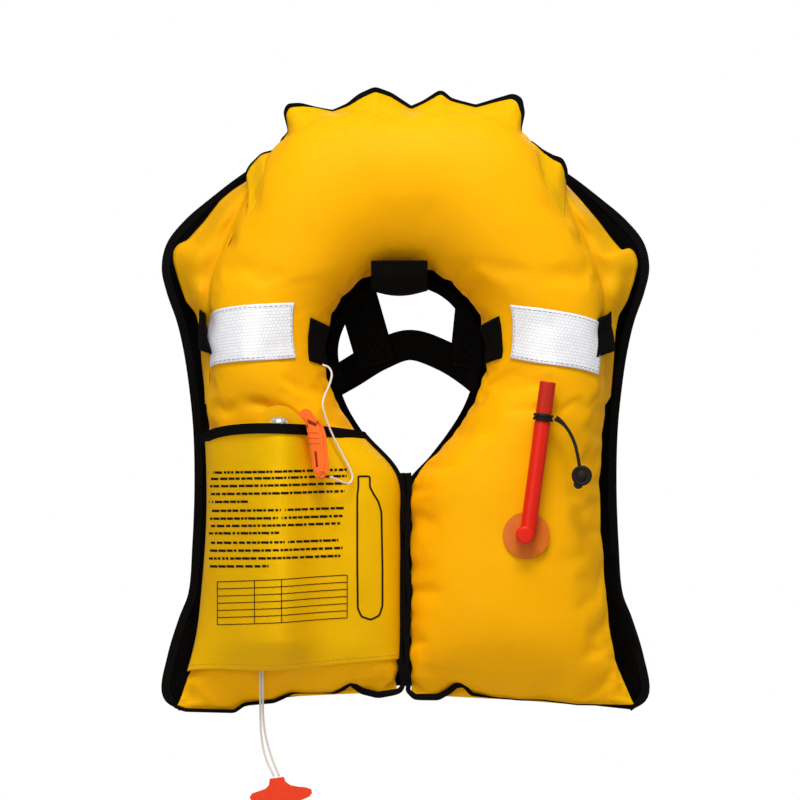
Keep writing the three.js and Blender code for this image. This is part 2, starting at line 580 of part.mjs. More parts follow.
add('whistle_lanyard', cordTube([[-79.6, -91, -85.5], [-73.5, -91, -88], [-70.5, -94, -94], [-72.5, -99, -104],
  [-77.5, -106, -116], [-79, -111, -124], [-76, -112, -136], [-69.5, -114, -152.6], [-60.5, -115, -170.4],
  [-52.5, -115, -186], [-50.6, -116, -193], [-53.4, -120, -198.4], [-59.5, -127, -197.5],
  [-71.6, -139, -192]], CORD, 5), 'cord', 0.7);

// ---- harness: hang loop, back straps, waist belt, adjuster and buckle ----
function hangLoop() {
  const loopRun = smooth([[-13, 1], [-12.5, 17], [-8, 23.5], [0, 26], [8, 23.5], [12.5, 17], [13, 1]], 20);
  return slab(ribbon(loopRun, 0, -6), COVER + GAP, COVER + GAP + 1.6);
}
add('hang_loop', hangLoop(), 'black', 0.75);

const BACK_RUN = [[5, 30], [6, 8], [11, -14], [14, -40], [15, -70], [14.5, -88]];
add('back_strap_left', hangingStrap(BACK_RUN, 38, -0.28, -52, 0), 'black', 0.8);
add('back_strap_right', hangingStrap(BACK_RUN, 38, 0.1, 70, 0), 'black', 0.8);
const crossRun = smooth([[-88, -112], [-55, -94], [-25, -76], [4, -66], [36, -76], [62, -92],
  [92, -118]], 20);
add('cross_strap', slab(ribbon(crossRun, 14, -14), 18, 18 + WEBBING), 'black', 0.8);
const LOWER_RUN = [[22.2, 60], [25, 20], [29, -30], [33, -84]];
add('lower_strap_left', hangingStrap(LOWER_RUN, 38, 0.42, -113, -172), 'black', 0.8);
add('lower_strap_right', hangingStrap(LOWER_RUN, 38, -0.42, 113, -172), 'black', 0.8);

const [beltFoot, beltTop] = [BELT_Z - BELT_WIDTH / 2, BELT_Z + BELT_WIDTH / 2];
const BELT_Y = 6;
const beltRun = smooth([[-166, BELT_Y], [-182, BELT_Y + 1], [-189, 13], [-184, 22], [-150, 40], [-80, 58],
  [0, 64], [80, 58], [150, 40], [184, 22], [189, 13], [182, BELT_Y + 1], [166, BELT_Y]], 56);
add('belt_back', standingStrap(beltRun, WEBBING, beltFoot, beltTop), 'black', 0.8);
add('belt_left', block(-165.4, -43.4, BELT_Y - 1, BELT_Y + 1, beltFoot, beltTop), 'black', 0.8);
add('belt_right', block(31, 127, BELT_Y - 1, BELT_Y + 1, beltFoot, beltTop), 'black', 0.8);

function beltRing(x0, x1, wall) {
  const reach = 1 + 0.6;
  const depth = reach + wall;
  const outer = block(x0, x1, BELT_Y - depth, BELT_Y + depth, beltFoot - 1 - wall, beltTop + 1 + wall);
  return cut(outer, block(x0 - 1, x1 + 1, BELT_Y - reach, BELT_Y + reach, beltFoot - 1, beltTop + 1));
}
add('belt_keeper_left', beltRing(-134, -110, 1.2), 'black', 0.8);
add('belt_keeper_right', beltRing(92, 116, 1.2), 'black', 0.8);
add('belt_slider', beltRing(-70, -62, 1.6), 'plastic', 0.5);

const BUCKLE_Y = 9.5;
function buckleFemale() {
  const shell = block(-43, -3, BUCKLE_Y - 6, BUCKLE_Y + 6, beltFoot - 4, beltTop + 4);
  const cavity = block(-38, 0, BUCKLE_Y - 4, BUCKLE_Y + 4, BELT_Z - 20, BELT_Z + 20);
  const windows = block(-26, -12, BUCKLE_Y - 4, BUCKLE_Y + 4, beltFoot - 6, beltTop + 6);
  return cut(shell, cavity, windows);
}
add('buckle_female', buckleFemale(), 'plastic', 0.5);
function buckleMale() {
  const base = block(-2.2, 30.6, BUCKLE_Y - 6, BUCKLE_Y + 6, beltFoot - 4, beltTop + 4);
  const prongs = [-1, 1].map(sign => {
    const middle = BELT_Z + sign * 15.5;
    return block(-30, 0, BUCKLE_Y - 3, BUCKLE_Y + 3, middle - 3, middle + 3);
  });
  const guide = block(-34, 0, BUCKLE_Y - 2.5, BUCKLE_Y + 2.5, BELT_Z - 3, BELT_Z + 3);
  const opening = block(5, 22, BUCKLE_Y - 8, BUCKLE_Y + 8, BELT_Z - 19, BELT_Z + 19);
  const bar = block(12, 16, BUCKLE_Y - 2, BUCKLE_Y + 2, BELT_Z - 20, BELT_Z + 20);
  return join(cut(join(base, ...prongs, guide), opening), bar);
}
add('buckle_male', buckleMale(), 'plastic', 0.5);

const part = new THREE.Group();
part.add(jacket);

export default part;
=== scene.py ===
"""Inflatable life jacket: the finished surfaces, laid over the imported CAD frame. Metres, +Z up, -Y the front."""
import math
import random

import bmesh
import bpy
import numpy as np
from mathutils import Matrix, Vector, noise
from mathutils.bvhtree import BVHTree


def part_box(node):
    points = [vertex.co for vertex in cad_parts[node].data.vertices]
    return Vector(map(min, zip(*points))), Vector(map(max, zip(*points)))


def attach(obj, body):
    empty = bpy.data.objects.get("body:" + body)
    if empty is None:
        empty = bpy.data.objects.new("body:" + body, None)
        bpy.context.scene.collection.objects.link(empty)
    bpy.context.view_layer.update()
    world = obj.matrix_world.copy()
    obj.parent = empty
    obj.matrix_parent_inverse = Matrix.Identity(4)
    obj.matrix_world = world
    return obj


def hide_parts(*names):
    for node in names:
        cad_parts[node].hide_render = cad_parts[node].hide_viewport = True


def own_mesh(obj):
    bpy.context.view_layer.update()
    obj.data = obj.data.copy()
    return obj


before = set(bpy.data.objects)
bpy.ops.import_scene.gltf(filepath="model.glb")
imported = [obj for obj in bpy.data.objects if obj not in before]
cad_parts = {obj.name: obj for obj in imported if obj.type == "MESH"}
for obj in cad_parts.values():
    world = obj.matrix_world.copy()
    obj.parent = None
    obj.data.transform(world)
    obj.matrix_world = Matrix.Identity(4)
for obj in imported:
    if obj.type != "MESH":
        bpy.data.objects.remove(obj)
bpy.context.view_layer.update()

JACKET = "jacket"
MM = 0.001
HANG_RISE = 0.020            # the frame's origin above the neck datum that the outlines are drawn from
HANG_BACK = 0.004
SEAM_Y = -0.062 - HANG_BACK  # seam plane of the air chamber
random.seed(7)


def datum(x, z, y=0.0):
    """A point drawn in millimetres from the neck datum, in the row frame."""
    return Vector((x * MM, y * MM - HANG_BACK, z * MM - HANG_RISE))


def centre(node):
    low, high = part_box(node)
    return (low + high) / 2


# ---- camera, floor and light ----
VIEW_WIDTH = 0.768           # width that the picture spans at the object
VIEW_CENTRE = Vector((-0.0053, -0.05, -0.1392))
VIEW_DISTANCE = 9.0
FLOOR_Z = -0.76


def make_camera():
    data = bpy.data.cameras.new("camera")
    data.sensor_width = 36
    data.lens = 36 * VIEW_DISTANCE / VIEW_WIDTH
    data.clip_end = 30
    camera = bpy.data.objects.new("camera", data)
    camera.location = VIEW_CENTRE - Vector((0, VIEW_DISTANCE, 0))
    camera.rotation_euler = (math.pi / 2, 0, 0)
    bpy.context.scene.collection.objects.link(camera)
    bpy.context.scene.camera = camera


def area_light(name, place, size, power):
    data = bpy.data.lights.new(name, "AREA")
    data.shape = "RECTANGLE"
    data.size, data.size_y = size
    data.energy = power
    light = bpy.data.objects.new(name, data)
    light.location = place
    aim = Vector((0, -0.05, -0.15)) - Vector(place)
    light.rotation_euler = aim.to_track_quat("-Z", "Y").to_euler()
    bpy.context.scene.collection.objects.link(light)


def make_world():
    world = bpy.data.worlds.new("studio")
    world.use_nodes = True
    nodes, links = world.node_tree.nodes, world.node_tree.links
    fill = nodes["Background"]
    fill.inputs["Color"].default_value = (1, 1, 1, 1)
    fill.inputs["Strength"].default_value = 0.26
    seen = nodes.new("ShaderNodeBackground")
    seen.inputs["Color"].default_value = (1, 1, 1, 1)
    seen.inputs["Strength"].default_value = 1.0
    path = nodes.new("ShaderNodeLightPath")
    mix = nodes.new("ShaderNodeMixShader")
    links.new(path.outputs["Is Camera Ray"], mix.inputs["Fac"])
    links.new(fill.outputs[0], mix.inputs[1])
    links.new(seen.outputs[0], mix.inputs[2])
    links.new(mix.outputs[0], nodes["World Output"].inputs["Surface"])
    bpy.context.scene.world = world


def make_studio():
    make_world()
    bpy.context.scene.view_settings.view_transform = "Standard"
    area_light("key", (0.0, -1.6, 2.0), (1.3, 0.8), 63)
    area_light("fill", (-0.9, -2.3, 0.1), (1.6, 1.6), 16)
    area_light("side", (1.9, -0.9, 0.4), (0.9, 1.6), 3.5)
    area_light("rear", (0.3, 1.8, 0.9), (1.4, 1.0), 10)
    bm = bmesh.new()
    bmesh.ops.create_circle(bm, cap_ends=True, segments=64, radius=1.3)
    mesh = bpy.data.meshes.new("floor")
    bm.to_mesh(mesh)
    bm.free()
    floor = bpy.data.objects.new("floor", mesh)
    floor.location = (0, 0, FLOOR_Z)
    bpy.context.scene.collection.objects.link(floor)
    mesh.materials.append(plain_floor())


# ---- materials ----
class Shader:
    """A principled material with its texture nodes, built line by line."""

    def __init__(self, name, colour, roughness, **sockets):
        self.material = bpy.data.materials.new(name)
        self.material.use_nodes = True
        self.tree = self.material.node_tree
        self.shader = self.tree.nodes["Principled BSDF"]
        self.shader.inputs["Base Color"].default_value = (*colour, 1)
        self.shader.inputs["Roughness"].default_value = roughness
        for key, value in sockets.items():
            self.shader.inputs[key.replace("_", " ")].default_value = value
        self.height = None

    def node(self, kind, **settings):
        node = self.tree.nodes.new("ShaderNode" + kind)
        for key, value in settings.items():
            if key in node.inputs:
                node.inputs[key].default_value = value
            else:
                setattr(node, key, value)
        return node

    def link(self, source, target):
        self.tree.links.new(source, target)

    def place(self, source="Object", scale=(1, 1, 1)):
        coordinates = self.node("TexCoord")
        mapping = self.node("Mapping", Scale=scale)
        self.link(coordinates.outputs[source], mapping.inputs["Vector"])
        return mapping.outputs[0]

    def noise(self, where, scale, detail=3, roughness=0.5):
        node = self.node("TexNoise", Scale=scale, Detail=detail, Roughness=roughness)
        self.link(where, node.inputs["Vector"])
        return node.outputs["Fac"]

    def ramp(self, value, low, high, start=(0, 0, 0), end=(1, 1, 1)):
        node = self.node("ValToRGB")
        node.color_ramp.elements[0].position = low
        node.color_ramp.elements[1].position = high
        node.color_ramp.elements[0].color = (*start, 1)
        node.color_ramp.elements[1].color = (*end, 1)
        self.link(value, node.inputs["Fac"])
        return node.outputs["Color"]

    def math(self, operation, a, b=0.0):
        node = self.node("Math", operation=operation)
        for socket, value in zip(node.inputs, (a, b)):
            if isinstance(value, (int, float)):
                socket.default_value = value
            else:
                self.link(value, socket)
        return node.outputs[0]

    def bump(self, height, distance, strength=1.0):
        node = self.node("Bump", Distance=distance, Strength=strength)
        self.link(height, node.inputs["Height"])
        if self.height is not None:
            self.link(self.height, node.inputs["Normal"])
        self.height = node.outputs[0]
        self.link(self.height, self.shader.inputs["Normal"])

    def colour(self, output):
        self.link(output, self.shader.inputs["Base Color"])

    def rough(self, value, low, high):
        node = self.node("MapRange")
        node.inputs["To Min"].default_value = low
        node.inputs["To Max"].default_value = high
        self.link(value, node.inputs["Value"])
        self.link(node.outputs[0], self.shader.inputs["Roughness"])

    def threads(self, where, pitch):
        """Plain weave: two crossed sets of ribs."""
        split = self.node("SeparateXYZ")
        self.link(where, split.inputs[0])
        across = self.math("SINE", self.math("MULTIPLY", split.outputs[0], 2 * math.pi / pitch))
        along = self.math("SINE", self.math("MULTIPLY", split.outputs[2], 2 * math.pi / pitch))
        return self.math("MULTIPLY", across, along)


def plain_floor():
    look = Shader("floor_paper", (0.66, 0.66, 0.66), 0.9)
    look.bump(look.noise(look.place(), 60), 0.0004, 0.4)
    return look.material


def coated_cloth(name, light, dark):
    """Coated nylon: fine weave under a satin skin, with soft tone changes and small creases."""
    look = Shader(name, light, 0.45, Specular_IOR_Level=0.04, Subsurface_Weight=0.2,
                  Subsurface_Radius=(0.03, 0.006, 0.001), Subsurface_Scale=0.6)
    where = look.place()
    tone = look.noise(where, 7, 4, 0.55)
    look.colour(look.ramp(tone, 0.3, 0.75, dark, light))
    look.rough(look.noise(where, 30, 4, 0.6), 0.36, 0.52)
    look.bump(look.noise(where, 26, 5, 0.55), 0.0016, 0.5)
    look.bump(look.noise(where, 120, 4, 0.5), 0.0004, 0.5)
    look.bump(look.threads(where, 0.0011), 0.00006, 0.6)
    return look.material


def black_cloth(name):
    look = Shader(name, (0.0025, 0.002, 0.002), 0.9, Specular_IOR_Level=0.03)
    where = look.place()
    look.colour(look.ramp(look.noise(where, 40, 4), 0.3, 0.8, (0.0012, 0.001, 0.0008), (0.004, 0.003, 0.0026)))
    look.bump(look.noise(where, 30, 4), 0.0012, 0.4)
    look.bump(look.threads(where, 0.0012), 0.00012, 0.8)
    return look.material


def webbing(name):
    """Woven tape: ribs across its width, twill along it, from the strap's own run (u) and width (v)."""
    colour = (0.002, 0.0016, 0.0014)
    look = Shader(name, colour, 0.8, Specular_IOR_Level=0.05)
    where = look.place("UV")
    split = look.node("SeparateXYZ")
    look.link(where, split.inputs[0])
    slope = look.math("ADD", split.outputs[0], look.math("MULTIPLY", split.outputs[1], 0.6))
    ribs = look.math("SINE", look.math("MULTIPLY", slope, 2 * math.pi / 0.0022))
    cords = look.math("SINE", look.math("MULTIPLY", split.outputs[1], 2 * math.pi / 0.0032))
    height = look.math("ADD", ribs, look.math("MULTIPLY", cords, 0.6))
    # painted light and shade: the colour ramp follows the rib height, lighter on the crests and darker in the grooves
    lit_rib_colour = tuple(channel * 2 + 0.0012 for channel in colour)
    look.colour(look.ramp(look.math("MULTIPLY", look.math("ADD", height, 1.6), 0.31), 0.1, 1, colour, lit_rib_colour))
    look.bump(height, 0.00018, 0.9)
    look.bump(look.noise(look.place(), 300, 3), 0.0002, 0.5)
    return look.material


def elastic(name):
    """Ribbed elastic for the belt keepers."""
    look = Shader(name, (0.006, 0.005, 0.005), 0.8, Specular_IOR_Level=0.1)
    where = look.place()
    split = look.node("SeparateXYZ")
    look.link(where, split.inputs[0])
    ribs = look.math("SINE", look.math("MULTIPLY", split.outputs[0], 2 * math.pi / 0.0024))
    look.bump(ribs, 0.0002, 0.9)
    look.colour(look.ramp(look.noise(where, 200), 0.3, 0.8, (0.004, 0.0035, 0.003), (0.012, 0.010, 0.009)))
    return look.material


def moulded(name, colour, roughness=0.32, specular=0.25):
    look = Shader(name, colour, roughness, Specular_IOR_Level=specular)
    where = look.place()
    darker = tuple(channel * 0.85 for channel in colour)
    look.colour(look.ramp(look.noise(where, 55, 4), 0.25, 0.8, darker, colour))
    look.rough(look.noise(where, 180, 4), roughness - 0.06, roughness + 0.12)
    look.bump(look.noise(where, 900, 2), 0.00006, 0.5)
    return look.material


def metal(name, colour, roughness, brushed=0.0):
    look = Shader(name, colour, roughness, Metallic=1.0)
    where = look.place(scale=(1, 1, 6 if brushed else 1))
    look.rough(look.noise(where, 220, 5, 0.6), max(0.03, roughness - 0.06), roughness + 0.12)
    look.bump(look.noise(where, 500, 3), 0.00004, 0.3 + brushed)
    return look.material


def rubber(name):
    colour = (0.007, 0.005, 0.002)
    look = Shader(name, colour, 0.6, Specular_IOR_Level=0.2)
    where = look.place()
    look.colour(look.ramp(look.noise(where, 70, 3), 0.3, 0.8, colour, tuple(c * 1.8 for c in colour)))
    look.bump(look.noise(where, 700, 3), 0.0001, 0.5)
    return look.material


def film(name):
    """Translucent welded disc, tinted by the cloth under it."""
    look = Shader(name, (0.62, 0.14, 0.01), 0.35, Specular_IOR_Level=0.2)
    where = look.place()
    look.colour(look.ramp(look.noise(where, 70, 3), 0.3, 0.75, (0.58, 0.11, 0.007), (0.68, 0.17, 0.012)))
    look.bump(look.noise(where, 260, 3), 0.0002, 0.5)
    return look.material


def honeycomb(name):
    """Retroreflective sheet: pale cells between thin grey walls."""
    look = Shader(name, (0.9, 0.9, 0.91), 0.3, Coat_Weight=0.6, Coat_Roughness=0.12)
    where = look.place("UV")
    cells = look.node("TexBrick", Color1=(0.93, 0.93, 0.95, 1), Color2=(0.86, 0.86, 0.89, 1),
                      Mortar=(0.60, 0.60, 0.63, 1), Scale=1.0, offset=0.5)
    cells.inputs["Mortar Size"].default_value = 0.00028
    cells.inputs["Mortar Smooth"].default_value = 0.4
    cells.inputs["Brick Width"].default_value = 0.0036
    cells.inputs["Row Height"].default_value = 0.0031
    look.link(where, cells.inputs["Vector"])
    look.colour(cells.outputs["Color"])
    look.bump(cells.outputs["Fac"], -0.0002, 0.6)
    look.bump(look.noise(look.place(), 90, 3), 0.0005, 0.4)
    return look.material


def braid(name, colour):
    look = Shader(name, colour, 0.7, Specular_IOR_Level=0.15)
    where = look.place()
    wave = look.node("TexWave", Scale=420.0, Distortion=1.5, bands_direction="DIAGONAL")
    look.link(where, wave.inputs["Vector"])
    # painted shade: the colour follows the same wave as the bump, darker in the braid's grooves and lighter on its
    # strands
    look.colour(look.ramp(wave.outputs["Fac"], 0.1, 0.9, tuple(c * 0.8 for c in colour), colour))
    look.bump(wave.outputs["Fac"], 0.0002, 0.8)
    return look.material


CHAMBER_CLOTH = coated_cloth("chamber_cloth", (0.95, 0.45, 0.002), (0.90, 0.41, 0.0015))
SHOULDER_CLOTH = coated_cloth("shoulder_cloth", (0.95, 0.42, 0.003), (0.90, 0.37, 0.002))
FLAP_CLOTH = coated_cloth("flap_cloth", (0.97, 0.49, 0.002), (0.92, 0.43, 0.0015))
COVER_CLOTH = black_cloth("cover_cloth")
TAPE = webbing("binding_tape")
WEBBING = webbing("black_webbing")
REFLECTIVE = honeycomb("reflective_tape")
THREAD_BLACK = braid("black_thread", (0.016, 0.014, 0.012))
THREAD_YELLOW = braid("yellow_thread", (0.72, 0.36, 0.03))
THREAD_GREY = braid("grey_thread", (0.42, 0.42, 0.43))
CORD_WHITE = braid("white_cord", (0.85, 0.78, 0.68))
PRINT = moulded("print_ink", (0.012, 0.010, 0.004), 0.5, 0.05)
FILM = film("flange_film")
YELLOW_FILM = coated_cloth("inflator_flange_film", (0.95, 0.45, 0.002), (0.90, 0.41, 0.0015))
BRASS = metal("stem_brass", (0.75, 0.52, 0.24), 0.25)
CHROME = metal("nut_chrome", (0.42, 0.41, 0.40), 0.22)
STEEL = metal("steel_parts", (0.62, 0.62, 0.63), 0.3, 0.4)
BOTTLE = metal("bottle_steel", (0.55, 0.56, 0.57), 0.32, 0.3)
ELASTIC = elastic("belt_elastic")
GASKET = rubber("gasket_rubber")
CAP_RUBBER = rubber("cap_rubber")
BLACK_PLASTIC = moulded("black_plastic", (0.012, 0.011, 0.011), 0.45, 0.3)
RED_TUBE = moulded("red_tube", (0.76, 0.014, 0.002), 0.36, 0.22)
MOUTH_RED = moulded("mouth_red", (0.56, 0.020, 0.006), 0.45, 0.2)
HANDLE_RED = moulded("handle_plastic", (0.88, 0.046, 0.006), 0.35, 0.25)
WHISTLE_SHADE = moulded("whistle_shade", (0.30, 0.022, 0.002), 0.6, 0.05)
WHISTLE_ORANGE = moulded("whistle_plastic", (0.97, 0.15, 0.004), 0.3, 0.3)


# ---- mesh helpers ----
def add_mesh(name, points, faces, material, uv=None):
    mesh = bpy.data.meshes.new(name)
    mesh.from_pydata([tuple(point) for point in points], [], faces)
    mesh.materials.append(material)
    if uv is not None:
        layer = mesh.uv_layers.new(name="run")
        for loop in mesh.loops:
            layer.data[loop.index].uv = uv[loop.vertex_index]
    mesh.validate()
    mesh.shade_smooth()
    piece = bpy.data.objects.new(name, mesh)
    bpy.context.scene.collection.objects.link(piece)
    return piece


def finish_piece(piece, body=JACKET, replaces=()):
    if replaces:
        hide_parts(*replaces)
    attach(piece, body)
    return piece


def grid_faces(rows, columns, wrap=False):
    faces = []
    for row in range(rows - 1):
        for column in range(columns if wrap else columns - 1):
            after = (column + 1) % columns
            a, b = row * columns + column, row * columns + after
            faces.append((a, b, b + columns, a + columns))
    return faces


def run_lengths(points):
    steps = np.linalg.norm(np.diff(np.array(points), axis=0), axis=1)
    return np.concatenate([[0], np.cumsum(steps)])


def grid_sheet(name, grid, material, thickness, offset=1.0, subdivide=0):
    """A sheet through a grid of points (rows by columns), with its own run and width as UV."""
    rows, columns = len(grid), len(grid[0])
    points = [Vector(point) for line in grid for point in line]
    along = run_lengths([line[columns // 2] for line in grid])
    across = run_lengths(grid[rows // 2])
    uv = [(along[row], across[column]) for row in range(rows) for column in range(columns)]
    piece = add_mesh(name, points, grid_faces(rows, columns), material, uv)
    if subdivide:
        smoother = piece.modifiers.new("smooth", "SUBSURF")
        smoother.levels = smoother.render_levels = subdivide
    if thickness:
        solid = piece.modifiers.new("thickness", "SOLIDIFY")
        solid.thickness = thickness
        solid.offset = offset
    return piece


def ribbon_frames(points, facing):
    """Tangent, side and normal at each point; facing is a normal or one for each point."""
    frames = []
    for index, point in enumerate(points):
        before, after = points[max(index - 1, 0)], points[min(index + 1, len(points) - 1)]
        tangent = (after - before).normalized()
        normal = (facing[index] if isinstance(facing, list) else facing).normalized()
        side = tangent.cross(normal).normalized()
        frames.append((point, side, side.cross(tangent).normalized()))
    return frames


def strap(name, points, facing, width, thickness, material, edge=0.35):
    """A strap or tape: a flat section with rounded edges swept along points. Width is one value, or one a point."""
    widths = width if isinstance(width, list) else [width] * len(points)
    half, depth = max(widths) / 2, thickness / 2
    section = [(-1, -edge), (-0.93, -1), (0, -1), (0.93, -1), (1, -edge), (1, edge), (0.93, 1), (0, 1), (-0.93, 1),
               (-1, edge)]
    places = run_lengths([(a * half, b * depth, 0) for a, b in section])
    runs = run_lengths(points)
    verts, uv = [], []
    for run, wide, (point, side, normal) in zip(runs, widths, ribbon_frames(points, facing)):
        for (a, b), across in zip(section, places):
            verts.append(point + side * a * wide / 2 + normal * b * depth * min(1, wide / thickness))
            uv.append((run, across))
    count = len(section)
    faces = grid_faces(len(points), count, wrap=True)
    faces.append(tuple(range(count)))
    faces.append(tuple(reversed(range((len(points) - 1) * count, len(points) * count))))
    piece = add_mesh(name, verts, faces, material, uv)
    recalculate(piece)
    sharpen(piece, 60)
    return piece


def recalculate(piece):
    bm = bmesh.new()
    bm.from_mesh(piece.data)
    bmesh.ops.recalc_face_normals(bm, faces=bm.faces)
    bm.to_mesh(piece.data)
    bm.free()


def sharpen(piece, degrees=35):
    piece.data.shade_smooth()
    piece.data.set_sharp_from_angle(angle=math.radians(degrees))


def spline(points, count):
    """Evenly numbered points on a smooth open curve through given ones."""
    table = np.array([tuple(point) for point in points], float)
    return [Vector(catmull(table, step / (count - 1))) for step in range(count)]


def catmull(table, where):
    """Centripetal Catmull-Rom through the rows of table, with where from 0 to 1."""
    last = len(table) - 1
    place = min(max(where, 0.0), 1.0) * last
    segment = min(int(place), last - 1)
    weight = place - segment
    p1, p2 = table[segment], table[segment + 1]
    p0 = table[segment - 1] if segment > 0 else 2 * p1 - p2
    p3 = table[segment + 2] if segment + 2 <= last else 2 * p2 - p1
    d0, d1, d2 = (max(np.dot(b - a, b - a) ** 0.25, 1e-5) for a, b in ((p0, p1), (p1, p2), (p2, p3)))
    t1 = ((p1 - p0) / d0 - (p2 - p0) / (d0 + d1) + (p2 - p1) / d1) * d1
    t2 = ((p2 - p1) / d1 - (p3 - p1) / (d1 + d2) + (p3 - p2) / d2) * d1
    return (p1 + t1 * weight + (3 * (p2 - p1) - 2 * t1 - t2) * weight ** 2
            + (2 * (p1 - p2) + t1 + t2) * weight ** 3)


def smoothstep(value, low, high):
    t = min(max((value - low) / (high - low), 0.0), 1.0)
    return t * t * (3 - 2 * t)


def lerp(a, b, t):
    return a + (b - a) * t


# ---- air chamber ----
# One side's stations, in millimetres from the neck datum: inner edge, outer edge, half thickness.
STATIONS = [
    ((10, -396), (221, -411), 5), ((9, -384), (209, -386), 27), ((8, -350), (198, -346), 50),
    ((8, -300), (192, -295), 58), ((8, -240), (188, -236), 60), ((11, -192), (188, -182), 60),
    ((46, -150), (191, -130), 59), ((70, -108), (192, -85), 57), ((76, -72), (190, -45), 56),
    ((68, -38), (184, 0), 56), ((50, -14), (157, 66), 57), ((28, 1), (111, 139), 58),
    ((12, 7), (60, 160), 58)]
CROWN = ((0, 8), (0, 162), 58)
POCKET_PRESS = 8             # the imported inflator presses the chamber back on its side
LAST = len(STATIONS)


def chamber_tables():
    left = [((-inner[0], inner[1]), (-outer[0], outer[1]), half - (POCKET_PRESS if 2 <= index <= 6 else 0))
            for index, (inner, outer, half) in enumerate(STATIONS)]
    loop = left + [CROWN] + list(reversed(STATIONS))
    inner = np.array([(x, 0, z) for (x, z), _, _ in loop], float)
    outer = np.array([(x, half, z) for _, (x, z), half in loop], float)
    return inner, outer


INNER_EDGE, OUTER_EDGE = chamber_tables()


def station(number):
    return number / (2 * LAST)


def right_of(number):
    return 2 * LAST - number


def smooth_chamber(u, angle, lift=0.0):
    """A point of the unwrinkled chamber. Angle 0 is the outer seam, 90 degrees the front, 180 the inner seam."""
    inner, outer = catmull(INNER_EDGE, u), catmull(OUTER_EDGE, u)
    depth = outer[1] + lift
    outer = np.array((outer[0], 0, outer[2]))
    across = (outer - inner) / 2
    half = np.linalg.norm(across)
    middle = inner + across + across / half * (half + lift) * math.cos(angle)
    return datum(middle[0], middle[2], SEAM_Y / MM + HANG_BACK / MM - depth * math.sin(angle))


# The two feet of the chamber as hung: scallops of the bottom seam, in millimetres of the row frame.
FOOT_LINES = {
    -1: [(-221, -433), (-211, -436.8), (-164, -438), (-154, -431), (-126, -428.5), (-108, -420.5), (-68, -420.5),
         (-60, -417), (-53.3, -411), (-47, -415), (-41.8, -418.6), (-26.4, -422.4), (-10, -419.6), (-2, -413)],
    1: [(2, -418), (9, -424.3), (31, -424.4), (41, -419), (48.5, -413), (56, -413), (63, -421.5), (82, -424.5),
        (111, -427.2), (130, -427.2), (164, -431.5), (219, -432.5)]}
# The same lines for the tape, which turns up between the lobes.
FOOT_TAPES = {-1: FOOT_LINES[-1][:-1] + [(-5, -418), (-2.5, -413), (-2, -406)], 1: [(3.5, -410)] + FOOT_LINES[1]}


def foot_height(x):
    """Height of the bottom seam under a place, metres."""
    line = np.array(FOOT_LINES[-1 if x < 0 else 1], float)
    return float(np.interp(x / MM, line[:, 0], line[:, 1])) * MM


def follow_foot(point, foot):
    """Draws the end of a lobe to its scalloped bottom seam."""
    pull = 1 - smoothstep(foot, 0.0, 0.95)
    inner, outer = STATIONS[0][0], STATIONS[0][1]
    share = (abs(point.x) / MM - inner[0]) / (outer[0] - inner[0])
    straight = lerp(inner[1], outer[1], min(max(share, 0), 1)) * MM - HANG_RISE
    point.z += pull * (foot_height(point.x) - 0.0008 - straight)
    return point


def seam_fold(run, spacing, seed):
    """Height of the folds that gather along a seam: narrow valleys between round pillows, 0 to 1."""
    wander = noise.noise(Vector((run / spacing * 0.45, seed, 0.3))) * 1.1
    phase = run / spacing + wander
    return 1 - abs(math.sin(math.pi * phase)) ** 0.55


def chamber_fold(run_outer, run_inner, angle, u):
    """How far the gathered cloth sinks at a place, in millimetres."""
    from_outer = min(angle, 2 * math.pi - angle)
    from_inner = abs(math.pi - angle)
    crown = math.exp(-((u - 0.5) / 0.13) ** 2)
    side = 1 if angle < math.pi else -1
    outer = seam_fold(run_outer, 62, 1.0) * (1.6 + 3.0 * crown) * math.exp(-(from_outer / 0.42) ** 1.5)
    tight = 1 - 0.45 * math.exp(-((u - 0.5) / 0.07) ** 2)
    inner = seam_fold(run_inner, 27, 5.0 + side) * 4.6 * tight * math.exp(-(from_inner / 0.34) ** 1.4)
    small = seam_fold(run_inner, 15, 9.0 + side) * 1.6 * math.exp(-(from_inner / 0.20) ** 1.4)
    return outer + inner + small


def chamber_point(u, angle, lift=0.0):
    """A point of the chamber with its seam folds, its feet and the lean of its two lobes."""
    run_outer = np.interp(u, RUNS[0], RUNS[1])
    run_inner = np.interp(u, RUNS[0], RUNS[2])
    sink = chamber_fold(run_outer, run_inner, angle % (2 * math.pi), u)
    base = smooth_chamber(u, angle)
    swell = noise.noise(base * 14) * 1.5 + noise.noise(base * 34 + Vector((3, 1, 2))) * 0.6
    foot = min(u, 1 - u) * 2 * LAST
    keep = smoothstep(foot, 0.0, 0.8)
    point = follow_foot(smooth_chamber(u, angle, (swell - sink) * keep - 0.6 + lift), foot)
    # the two lobes lean towards each other below the neck
    lean = smoothstep(-point.z, 0.185, 0.235) * smoothstep(1 - abs(point.x) / 0.075, 0.0, 0.9)
    point.x -= (5.5 if point.x > 0 else -2.6) * MM * lean
    return point


def chamber_runs():
    numbers = np.linspace(0, 1, 400)
    outer = [catmull(OUTER_EDGE, u)[[0, 2]] for u in numbers]
    inner = [catmull(INNER_EDGE, u)[[0, 2]] for u in numbers]
    return numbers, run_lengths(outer), run_lengths(inner)


RUNS = chamber_runs()
RINGS, SIDES = 210, 76
START_SMALLER = 2.4          # millimetres taken off before the cloth is blown up
SWELL_LIMIT = 5.5
DEPTH_LIMIT = 0.4            # front and back stand no further than this outside the plain shape
WELD_ANGLE = 0.045           # radians from a seam that the weld holds still


def ring_angle(side):
    """More rows of vertices near the two seams, where the folds are."""
    share = side / SIDES * 2 * math.pi
    return share - 0.32 * math.sin(2 * share) / 2


